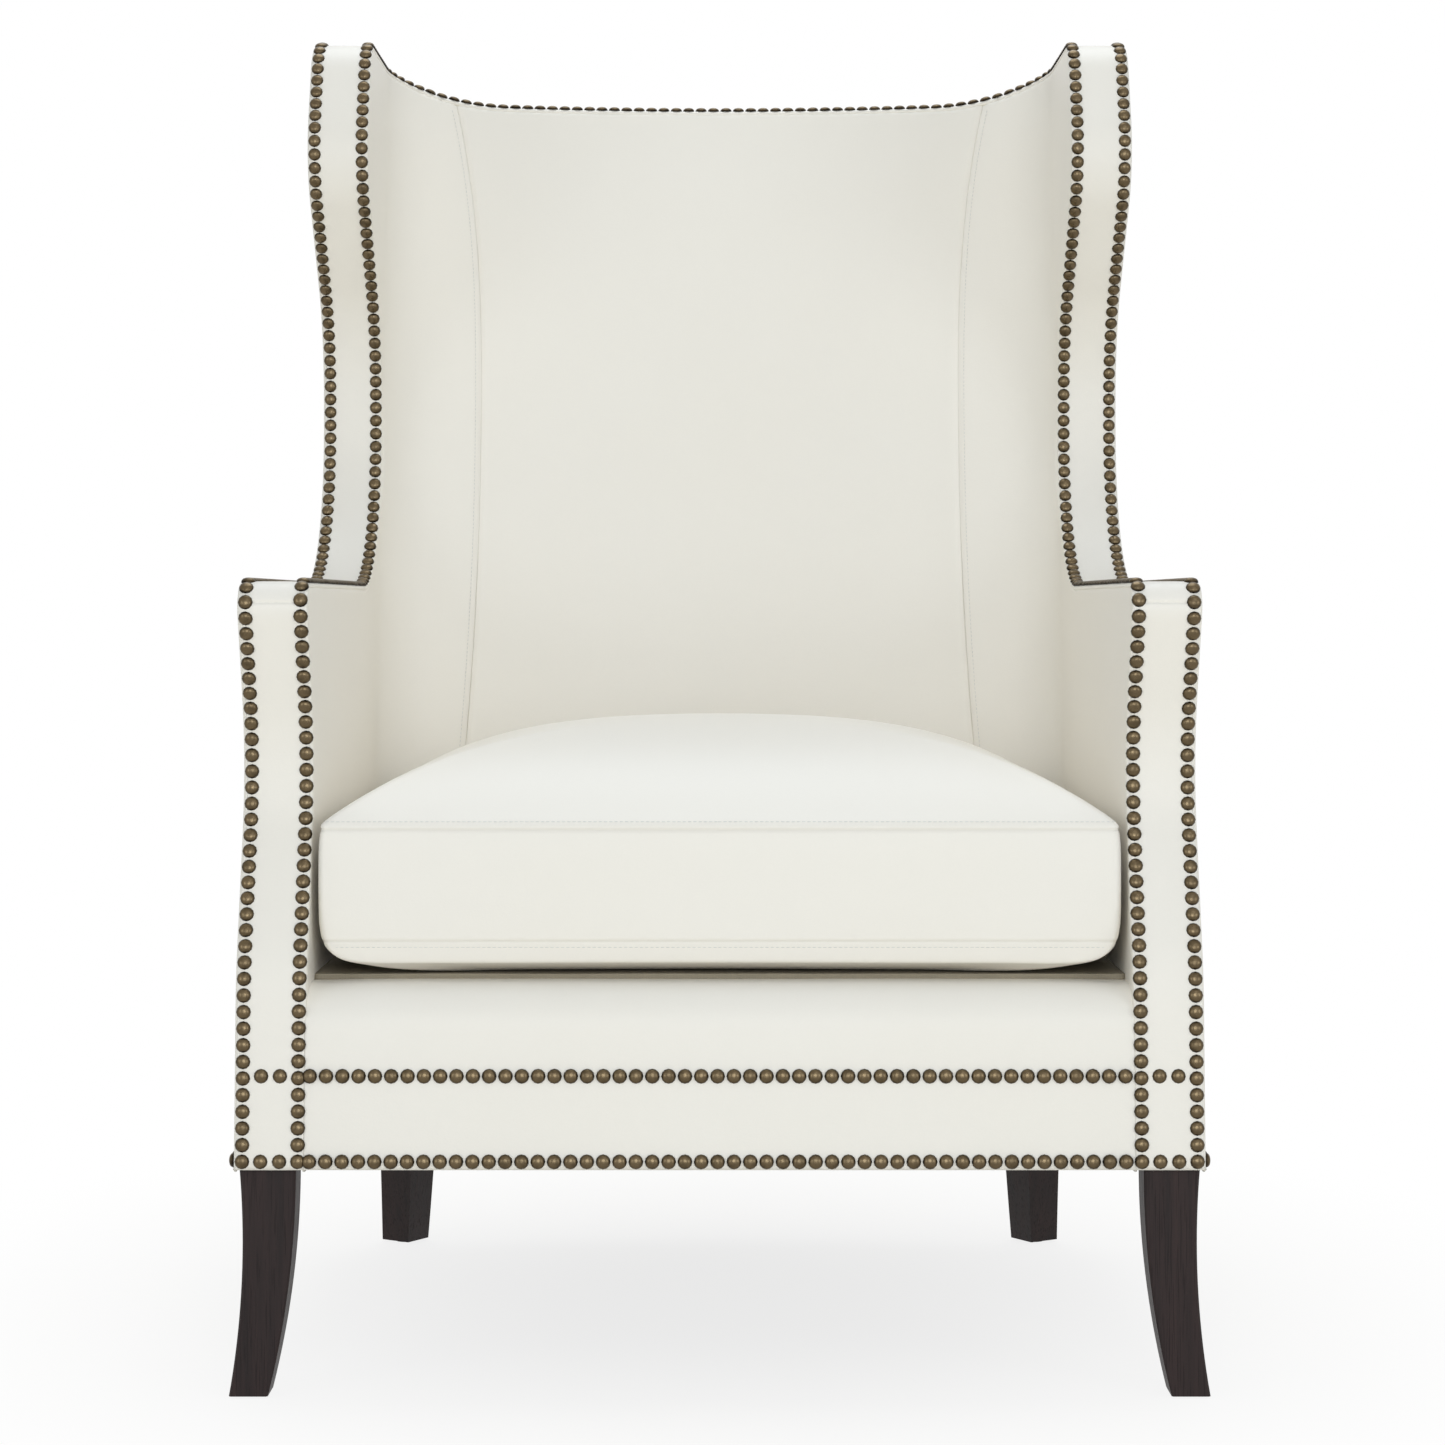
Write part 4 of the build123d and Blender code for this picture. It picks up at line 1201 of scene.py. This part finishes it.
@dataclass
class SeatCushion:
    """Loose crowned box cushion, swelled by a cloth simulation.

    Attributes:
        palette: The chair's finishes.
        half: Half of the cushion's width.
        front: Distance of its front behind the chair's front.
        seam_low: Height of the lower seam.
        seam_high: Height of the upper seam.
        crown: Rise of the top over the upper seam.
        draw: How far its sides pull in between the corners.
        slack: How much smaller the sewn case is than the swelled one.
        corner: Rounding of its front corners.
        most: Limit of the swelling.
        frames: Length of the swelling.
        groove: Depth of its drawn-in seams.
        zip_height: Height of the zip's middle.
        zip_reach: Distance from the middle at which the zip ends.
        teeth: Count of the zip's teeth.
        nodes: The CAD nodes that the filled case stands for.
    """

    palette: Palette
    half: float = 0.3221
    front: float = 0.038
    seam_low: float = CUSHION_SEAMS[0]
    seam_high: float = CUSHION_SEAMS[1]
    crown: float = 0.0817
    draw: float = 0.005
    slack: float = 0.003
    corner: float = 0.006
    most: float = 0.005
    frames: int = 20
    groove: float = 0.0009
    zip_height: float = 0.39925
    zip_reach: float = 0.200
    teeth: int = 160
    nodes: tuple[str, ...] = ("cushion_case", "cushion_wrap", "cushion_core")

    def __post_init__(self) -> None:
        """Work out the cushion's plan."""
        lean = INNER.lean * (CREST_HEIGHT - DECK_HEIGHT - 0.0003)
        self.back = INNER.back - lean - 0.0025
        self.bottom = DECK_HEIGHT + 0.0003
        self.middle = (behind(self.front) + self.back) / 2

    def ring(self, share: float, inset: float, hold: float = 0.0) -> list[Vector]:
        """Plan of the cushion, shrunk towards its middle, from the front's middle round the right.

        Args:
            share: How much of the full plan is left.
            inset: How far the plan is drawn in first.
            hold: How much of the shrinking the front edge is spared.

        Returns:
            The closed line's places.
        """
        half = (self.half - inset) * share
        near = self.middle + (behind(self.front) + inset - self.middle) * (share + (1 - share) * hold)
        back = self.middle + (self.back - inset - self.middle) * share
        plan = Plan(half, back, INNER.bow * share, INNER.corner * share, 0.0, 1)
        turn = self.corner * (0.35 + 0.65 * share) if share > 0.5 else self.corner * share
        line = [Vector(((half - turn) * step / 26, near)) for step in range(26)]
        for step in range(7):
            angle = step / 6 * math.pi / 2
            line.append(Vector((half - turn + turn * math.sin(angle), near + turn - turn * math.cos(angle))))
        side = plan.centre.y - near - turn
        for step in range(1, 36):
            line.append(Vector((half, near + turn + side * step / 36)))
        for step in range(9):
            line.append(plan.flat(plan.corner_length * step / 8)[0])
        run = plan.middle - plan.corner_length
        line += [plan.flat(plan.corner_length + run * step / 20)[0] for step in range(1, 21)]
        for place in line:
            part = (place.y - near) / (back - near)
            pull = self.draw * share * 4 * part * (1 - part)
            if abs(place.x) > half * 0.6:
                place.x -= math.copysign(pull * (abs(place.x) / half) ** 4, place.x)
        left = [Vector((-place.x, place.y)) for place in reversed(line[1:-1])]
        return [*line, *left]

    def sections(self, inset: float, fine: bool) -> list[Triple]:
        """Heights, shares and front holds of the rings, from the underside to the crown.

        Args:
            inset: How far the form is drawn in.
            fine: Whether rings crowd round the seams, for the seen case.

        Returns:
            The rings.
        """
        shares = (0.04, 0.2, 0.36, 0.52, 0.66, 0.76, 0.84, 0.895, 0.93, 0.955, 0.972, 0.984, 0.9915, 0.9965)
        lip, belly, hold = 0.0035, 0.0085, 0.72
        draw_low, draw_high = 0.010, 0.005
        rise = self.crown - inset - lip
        low = []
        for share in shares:
            under = self.bottom + inset + belly * share**3
            low.append((under + (self.seam_low - under) * share**150, share * (1 - draw_low), hold))
        high = []
        for share in reversed(shares):
            fold = lip * (1 - share**160)
            high.append((self.seam_high + fold + rise * (1 - share**3.1), share, 0.0))
        steps = (0.0, 1.2, 2.5, 4.5, 8.0, 14.0, 24.0) if fine else (0.0, 12.0, 24.0)
        wall = []
        for step in steps:
            full = 1 - draw_low * (1 - step / steps[-1]) ** 2
            wall.append((self.seam_low + step * MM, full, hold))
        for step in reversed(steps):
            full = 1 - draw_high * (1 - step / steps[-1]) ** 2
            wall.append((self.seam_high - step * MM, full, 0.0))
        return [*low, *wall, *high]

    def form(self, inset: float, fine: bool) -> bmesh.types.BMesh:
        """Closed form of the cushion, bridged from its rings."""
        mesh = bmesh.new()
        loops = []
        for height, share, hold in self.sections(inset, fine):
            verts = []
            for place in self.ring(share, inset, hold):
                aside, ahead = self.half - abs(place.x), place.y - behind(self.front)
                lift = math.exp(-((aside / 0.012) ** 1.2)) * math.exp(-((max(ahead, 0.0) / 0.05) ** 1.3))
                rise = max(self.seam_low - height, 0.0) * lift
                verts.append(mesh.verts.new((place.x, place.y, height + rise)))
            ends = zip(verts, [*verts[1:], verts[0]])
            loops.append([mesh.edges.new(pair) for pair in ends])
        for low, high in zip(loops, loops[1:]):
            bmesh.ops.bridge_loops(mesh, edges=[*low, *high])
        for loop in (loops[0], loops[-1]):
            bmesh.ops.holes_fill(mesh, edges=loop)
        bmesh.ops.recalc_face_normals(mesh, faces=mesh.faces)
        return mesh

    def swell(self) -> Move:
        """Let pressure swell the sewn case between its seams.

        Returns:
            How far the leather moves at a place of the case.
        """
        scene = bpy.context.scene
        work = add_object("cushion_work", as_data(self.form(self.slack, False), "cushion_work"))
        remesh = work.modifiers.new("remesh", "REMESH")
        remesh.mode = "VOXEL"
        remesh.voxel_size = 0.007
        graph = bpy.context.evaluated_depsgraph_get()
        work.data = bpy.data.meshes.new_from_object(work.evaluated_get(graph))
        work.modifiers.remove(remesh)
        starts = [vert.co.copy() for vert in work.data.vertices]
        sewn = work.vertex_groups.new(name="sewn")
        for number, start in enumerate(starts):
            if min(abs(start.z - seam) for seam in (self.seam_low, self.seam_high)) < 0.005:
                sewn.add([number], 1.0, "REPLACE")
        cloth = work.modifiers.new("cloth", "CLOTH")
        cloth.settings.quality = 6
        cloth.settings.mass = 0.35
        cloth.settings.tension_stiffness = cloth.settings.compression_stiffness = 25
        cloth.settings.bending_stiffness = 6
        cloth.settings.use_pressure = True
        cloth.settings.uniform_pressure_force = 4.0
        cloth.settings.effector_weights.gravity = 0.0
        cloth.settings.vertex_group_mass = sewn.name
        cloth.collision_settings.use_collision = False
        cloth.point_cache.frame_start, cloth.point_cache.frame_end = 1, self.frames
        for number in range(1, self.frames + 1):
            scene.frame_set(number)
        graph = bpy.context.evaluated_depsgraph_get()
        filled = work.evaluated_get(graph).to_mesh()
        moves = [vert.co - start for vert, start in zip(filled.vertices, starts)]
        tree = KDTree(len(starts))
        for number, start in enumerate(starts):
            tree.insert(start, number)
        tree.balance()
        scene.frame_set(1)
        bpy.data.objects.remove(work)
        log.info("cushion swells by up to %.1f mm", 1000 * max(move.length for move in moves))

        def move(place: Vector) -> Vector:
            """Mean of the moves found round a place, nearer ones counting more."""
            total, weight = Vector(), 0.0
            for _, number, distance in tree.find_n(place, 14):
                share = math.exp(-((distance / 0.010) ** 2)) + 1e-6
                total += moves[number] * share
                weight += share
            return total / weight

        return move

    def settle(self, mesh: bmesh.types.BMesh, move: Move) -> None:
        """Swell the case, rest it on the deck, keep it between its neighbours and draw its seams in.

        Args:
            mesh: The case as sewn.
            move: How far the leather moves at a place.
        """
        centre = Vector((0.0, self.middle))
        shifts = [move(vert.co) for vert in mesh.verts]
        for vert, shift in zip(mesh.verts, shifts):
            if shift.length > self.most:
                shift *= self.most / shift.length
            at = vert.co
            at += shift
            at.z = max(at.z, self.bottom)
            flat = Vector((at.x, at.y)) - centre
            depth = 0.0
            for seam in (self.seam_low, self.seam_high):
                depth += self.groove * math.exp(-(((at.z - seam) / 0.0016) ** 2))
            if flat.length > 0.2:
                flat -= flat.normalized() * depth
            at.x, at.y = (flat + centre).to_tuple()
            side = self.half + 0.0006
            at.x = min(max(at.x, -side), side)
            at.y = max(at.y, behind(self.front) - 0.003)
            bow_y = self.back - INNER.bow
            reach = Vector((at.x, at.y - bow_y))
            if reach.length > INNER.bow:
                reach *= INNER.bow / reach.length
                at.y = reach.y + bow_y

    def build(self) -> None:
        """Make the case, its stitches and its zip."""
        mesh = self.form(0.0006, True)
        self.settle(mesh, self.swell())
        tree = BVHTree.FromBMesh(mesh)
        piece = make_piece(
            "seat_cushion", mesh, self.palette.cushion, "leather", "cushion", nodes=list(self.nodes), levels=1
        )
        self.stitch(tree)
        self.zip()

    def stitch(self, tree: BVHTree) -> None:
        """Topstitching beside both seams."""
        places = []
        for height in (self.seam_low - 0.0046, self.seam_high + 0.0062):
            ring = self.ring(1.0, 0.0, 0.0)
            line = []
            for place in [*ring, ring[0]]:
                start = Vector((place.x, place.y, height))
                inward = Vector((-place.x, self.middle - place.y, 0)).normalized()
                hit, normal, _, _ = tree.ray_cast(start - inward * 0.03, inward)
                if hit is not None:
                    line.append((hit, normal))
            places.append(line)
        make_stitches("cushion_stitches", places, self.palette, "cushion")

    def zip(self) -> None:
        """Zip tape with its teeth along the cushion's bowed back."""
        centre_y = self.back - INNER.bow
        middle = self.zip_height
        span = self.zip_reach / INNER.bow
        tape_half = 0.012

        def bowed(angle: float, lift: float, height: float) -> Vector:
            """Place on the cushion's back by its direction from the bow's centre."""
            radius = INNER.bow + lift
            return Vector((radius * math.cos(angle), centre_y + radius * math.sin(angle), height))

        def place(u: float, v: float) -> Vector:
            """Place of the tape at a share along and up."""
            ridge = 0.0005 * math.exp(-(((v - 0.5) / 0.12) ** 2))
            angle = math.pi / 2 + span * (1 - 2 * u)
            return bowed(angle, 0.0009 + ridge, middle + tape_half * (2 * v - 1))

        mesh = drape(even(60), even(12), place)
        bmesh.ops.recalc_face_normals(mesh, faces=mesh.faces)
        if sum(face.normal.y for face in mesh.faces) < 0:
            bmesh.ops.reverse_faces(mesh, faces=mesh.faces)
        tape = self.palette.tape
        make_piece("zip_tape", mesh, tape, "lining_cloth", "cushion", nodes=["zip_tape"], thickness=0.0006)
        mesh = bmesh.new()
        bmesh.ops.create_cube(mesh, size=1.0)
        bmesh.ops.scale(mesh, vec=(0.0013, 0.0006, 0.0042), verts=mesh.verts)
        tooth = as_data(mesh, "tooth")
        places = []
        for number in range(self.teeth):
            angle = math.pi / 2 + span * (1 - 2 * (number + 0.5) / self.teeth)
            at = bowed(angle, 0.0014, middle + 0.0006 * (-1) ** number)
            places.append(Matrix.Translation(at) @ Matrix.Rotation(angle - math.pi / 2, 4, "Z"))
        teeth = stamp(tooth, places)
        make_piece("zip_teeth", teeth, self.palette.nails, "zip_brass", "cushion")


def stamp(shape: bpy.types.Mesh, places: Sequence[Matrix]) -> bmesh.types.BMesh:
    """Copy a small shape to many places.

    Args:
        shape: The shape, which is removed at the end.
        places: Transform of each copy.

    Returns:
        One mesh with every copy.
    """
    whole = bmesh.new()
    for place in places:
        copy = shape.copy()
        copy.transform(place)
        whole.from_mesh(copy)
        bpy.data.meshes.remove(copy)
    bpy.data.meshes.remove(shape)
    return whole


def make_stitches(
    name: str,
    lines: Sequence[Sequence[Mark]],
    palette: Palette,
    body: str,
    pitch: float = 0.0042,
) -> None:
    """Sew a row of stitches along each line of places and normals.

    Args:
        name: The piece's name.
        lines: Places with the leather's normals there.
        palette: The chair's finishes.
        body: The body that the stitches move with.
        pitch: Distance between stitches.
    """
    mesh = bmesh.new()
    bmesh.ops.create_uvsphere(mesh, u_segments=6, v_segments=5, radius=1.0)
    bmesh.ops.scale(mesh, vec=(pitch * 0.40, 0.00034, 0.00022), verts=mesh.verts)
    stitch = as_data(mesh, "stitch")
    places = []
    for line in lines:
        carried = 0.0
        for (start, normal), (end, _) in zip(line, line[1:]):
            run = (end - start).length
            forward = (end - start).normalized()
            sideways = normal.cross(forward).normalized()
            up = forward.cross(sideways).normalized()
            turn = Matrix((forward, sideways, up)).transposed().to_4x4()
            while carried < run:
                at = start.lerp(end, carried / run)
                places.append(Matrix.Translation(at + up * 0.00008) @ turn)
                carried += pitch
            carried -= run
    make_piece(name, stamp(stitch, places), palette.thread, "leather", body)


@dataclass
class NailTrim:
    """Rows of domed upholstery nails.

    Attributes:
        palette: The chair's finishes.
        radius: Radius of a nail's head.
        rise: Height of its dome.
        pitch: Distance between nails.
        front_stretch: How much wider they stand on the arm fronts.
        inset: Distances of the inner and the outer row from the arris beside them.
        foot_height: Height of the row round the foot of the body.
        border_height: Height of the row across the seat front.
        front_row: Count, pitch and middle of the rows on the seat front.
        tilt: How far a nail may stand out of true.
    """

    palette: Palette
    radius: float = 0.0059
    rise: float = 0.0042
    pitch: float = 0.01257
    front_stretch: float = 1.038
    inset: Point2 = (0.0055, 0.0068)
    foot_height: float = 0.1885
    border_height: float = 0.2552
    front_row: tuple[int, float, float] = (51, 0.01287, -0.0017)
    tilt: float = 0.045

    def head(self) -> bpy.types.Mesh:
        """One nail head, spun from its section."""
        mesh = bmesh.new()
        tarnish = mesh.verts.layers.float.new("tarnish")
        # Each row of the section is width, height and painted rim shade: the head darkens towards its rim as
        # painted shade.
        section = (
            (1.0, 0.0, 1.0),
            (0.99, 0.24, 0.9),
            (0.90, 0.55, 0.34),
            (0.68, 0.82, 0.08),
            (0.36, 0.96, 0.0),
            (0.0, 1.0, 0.0),
        )
        verts = []
        for width, height, rim_shade in section:
            verts.append(mesh.verts.new((self.radius * width, 0.0, self.rise * height)))
            verts[-1][tarnish] = rim_shade
        edges = [mesh.edges.new(pair) for pair in zip(verts, verts[1:])]
        bmesh.ops.spin(
            mesh,
            geom=[*verts, *edges],
            axis=(0, 0, 1),
            cent=(0, 0, 0),
            angle=2 * math.pi,
            steps=12,
            use_merge=True,
        )
        bmesh.ops.remove_doubles(mesh, verts=mesh.verts, dist=1e-6)
        bmesh.ops.recalc_face_normals(mesh, faces=mesh.faces)
        return as_data(mesh, "nail_head")

    def drive(self, rows: Sequence[Mark]) -> bmesh.types.BMesh:
        """Nails at every place, each a little out of true and pressed into the leather."""
        head = self.head()
        places = []
        for at, out in rows:
            normal = (out + noise.noise_vector(at * 311.0) * self.tilt).normalized()
            turn = normal.to_track_quat("Z", "Y").to_matrix().to_4x4()
            places.append(Matrix.Translation(at - normal * 0.0002) @ turn)
        return stamp(head, places)

    def rim_row(self, across: float, start: float) -> list[Mark]:
        """Places of a row along the shell's edge, from the foot to half a pitch before the crest's middle."""
        count = math.ceil((RIM.length - start) / 0.002)
        marks = [start + (RIM.length - start) * share for share in even(count)]
        line = [RIM.point(mark, across, 0.0) for mark in marks]
        ends = [0.0]
        for mark, first, last in zip(marks, line, line[1:]):
            stretch = self.front_stretch if mark < NOSE_END else 1.0
            ends.append(ends[-1] + (last - first).length / stretch)
        nails = round(ends[-1] / self.pitch - 0.5)
        pitch = ends[-1] / (nails + 0.5)
        found = []
        for number in range(nails + 1):
            after = bisect.bisect_left(ends, number * pitch, 1, count)
            share = (number * pitch - ends[after - 1]) / (ends[after] - ends[after - 1])
            mark = marks[after - 1] + (marks[after] - marks[after - 1]) * share
            found.append((RIM.point(mark, across, 0.0), RIM.axes(mark)[2]))
        return found

    def build(self) -> None:
        """Make every row."""
        start = SIDE_EDGE.length_at(self.foot_height, 0.0, SIDE_EDGE.ends[1])
        inner, outer = self.inset
        rows = [*self.rim_row(inner, start), *self.rim_row(-outer, start)]
        foot = SIDE_EDGE.length_at(self.border_height, 0.0, SIDE_EDGE.ends[1])
        for length in (start, foot):
            near, across, out, width = RIM.axes(length)
            gap = width - inner - outer
            rows += [(near + across * (inner + gap * share), out) for share in (0.33, 0.67)]
        rows += self.foot_row()
        make_pair("nails", self.drive(rows), material=self.palette.nails, slot="zip_brass")
        count, pitch, middle = self.front_row
        front = []
        for length in (start, foot):
            at = SIDE_EDGE.point(length)
            _, _, out, _ = RIM.axes(length)
            for number in range(count):
                x = middle + (number - (count - 1) / 2) * pitch
                front.append((Vector((x, behind(at.x) - 0.0006, at.y)), out))
        make_piece("nails_front", self.drive(front), self.palette.nails, "zip_brass")

    def foot_row(self) -> list[Mark]:
        """Places of the row round the foot of the body, on its right side and back."""
        found = []
        along = OUTER.along_side(behind(0.0085), self.foot_height)
        count = round((OUTER.middle - along) / self.pitch)
        for share in even(count):
            place = along + (OUTER.middle - along) * share
            at = OUTER.point(place, self.foot_height, 0.0004)
            out = OUTER.point(place, self.foot_height, 0.01) - at
            found.append((at, out.normalized()))
        return found


@dataclass
class SeamStitching:
    """Topstitching beside the seams between the inside back and the wings.

    Attributes:
        palette: The chair's finishes.
        shell: The covers that it is sewn on.
        gap: Distance of the stitches from the seam.
        start: Height of the lowest stitches.
        stop: Distance of the highest ones below the crest.
    """

    palette: Palette
    shell: Shell
    gap: float = 0.0060
    start: float = 0.36
    stop: float = 0.004

    def build(self) -> None:
        """Make the stitches of both seams."""
        line = []
        for share in even(160):
            height = self.start + (CREST_HEIGHT - self.stop - self.start) * share
            along = INNER.along_back(self.shell.inside_seam(height)) - self.gap
            at = INNER.point(along, height, 0.0001)
            normal = INNER.point(along, height, 0.01) - at
            line.append((at, normal.normalized()))
        other = []
        for at, normal in line:
            other.append((Vector((-at.x, at.y, at.z)), Vector((-normal.x, normal.y, normal.z))))
        make_stitches("wing_stitches", [line, other], self.palette, "chair", 0.0040)


def dress_frame(palette: Palette) -> None:
    """Give every CAD node the finish of its slot."""
    for part in frame["record"]["subparts"]:
        node = frame["nodes"][part["node"]]
        finish = palette.by_slot[part["material_slot"]]
        node.data.materials.clear()
        node.data.materials.append(finish)


@dataclass
class Studio:
    """Pale floor, soft lights and the camera.

    Attributes:
        lens: Focal length on a 36 mm frame, in millimetres.
        distance: Distance of the camera from the chair's front.
        eye: Height of the camera.
        shift: Shift of the frame, as shares of its width.
        ambient: Strength of the light from all round.
    """

    lens: float = 85.0
    distance: float = 2.686
    eye: float = 0.6245
    shift: Point2 = (0.0019, -0.0792)
    ambient: float = 0.365

    def camera(self) -> None:
        """Place the camera level in front of the chair."""
        data = bpy.data.cameras.new("camera")
        data.lens = self.lens
        data.sensor_width = 36.0
        data.shift_x, data.shift_y = self.shift
        data.clip_end = 60.0
        holder = add_object("camera", data)
        holder.location = (0.0, FRONT - self.distance, self.eye)
        holder.rotation_euler = (math.pi / 2, 0.0, 0.0)
        bpy.context.scene.camera = holder

    def lamp(self, name: str, size: float, power: float, at: Triple, aim: Triple) -> None:
        """Add one large soft lamp."""
        data = bpy.data.lights.new(name, "AREA")
        data.shape = "DISK"
        data.size = size
        data.energy = power
        data.color = LIGHT
        holder = add_object(name, data)
        holder.location = at
        holder.rotation_euler = (Vector(aim) - Vector(at)).to_track_quat("-Z", "Y").to_euler()

    def world(self) -> None:
        """Soft light from all round, seen as white."""
        world = bpy.data.worlds.new("studio")
        bpy.context.scene.world = world
        world.use_nodes = True
        nodes = Nodes(world.node_tree)
        nodes.tree.nodes.remove(nodes.tree.nodes["Background"])
        light = nodes.add("ShaderNodeBackground", None, {"Color": LIGHT, "Strength": self.ambient})
        white = nodes.add("ShaderNodeBackground", None, {"Color": WHITE})
        mix = nodes.add("ShaderNodeMixShader", None, {0: nodes.seen(), 1: light, 2: white})
        nodes.feed(nodes.tree.nodes["World Output"].inputs["Surface"], mix)

    def floor(self) -> None:
        """White floor that takes the chair's shadow."""
        mesh = bmesh.new()
        bmesh.ops.create_circle(mesh, cap_ends=True, segments=64, radius=14.0)
        data = as_data(mesh, "floor")
        piece = add_object("floor", data)
        shader = Shader("floor_white")
        cloud = shader.noise(shader.place(), 3.0, 2.0)
        shader.dress(Base_Color=shader.mix(cloud, (0.93, 0.88, 0.79), (0.95, 0.90, 0.81)), Roughness=0.9)
        sockets = {0: shader.place((1.0, 0.8, 1.0))}
        far = shader.add("ShaderNodeVectorMath", {"operation": "LENGTH"}, sockets, out="Value")
        fade = 1 - far.below(0.50, 0.80) * 0.22
        glow = shader.add("ShaderNodeEmission", None, {"Color": WHITE})
        plain = Sock(shader, shader.surface.outputs[0])
        mix = shader.add("ShaderNodeMixShader", None, {0: shader.seen() * fade, 1: plain, 2: glow})
        shader.feed(shader.tree.nodes["Material Output"].inputs["Surface"], mix)
        data.materials.append(shader.material)

    def build(self) -> None:
        """Set the studio up."""
        bpy.context.scene.view_settings.view_transform = "Standard"
        self.camera()
        self.world()
        self.floor()
        self.lamp("front", 2.2, 55.0, (0.1, -4.6, 1.25), (0.0, 0.0, 0.85))
        self.lamp("key", 1.8, 7.0, (0.9, -2.8, 2.8), (0.0, 0.0, 0.9))
        self.lamp("left", 2.0, 24.0, (-3.0, -3.4, 1.1), (0.0, 0.0, 0.6))
        self.lamp("right", 2.0, 28.0, (3.0, -3.4, 1.1), (0.0, 0.0, 0.6))
        self.lamp("top", 2.2, 35.0, (0.0, 0.6, 3.2), (0.0, 0.0, 0.4))


def main() -> None:
    """Build the chair piece by piece."""
    logging.basicConfig(level=logging.INFO, format="%(name)s %(message)s")
    noise.seed_set(SEED)
    palette = Palette()
    dress_frame(palette)
    Studio().build()
    shell = Shell(palette)
    shell.build_bands()
    shell.build_covers()
    SeatFront(palette).build()
    SeamStitching(palette, shell).build()
    NailTrim(palette).build()
    SeatCushion(palette).build()
    bpy.context.view_layer.update()


if __name__ == "__main__":
    main()
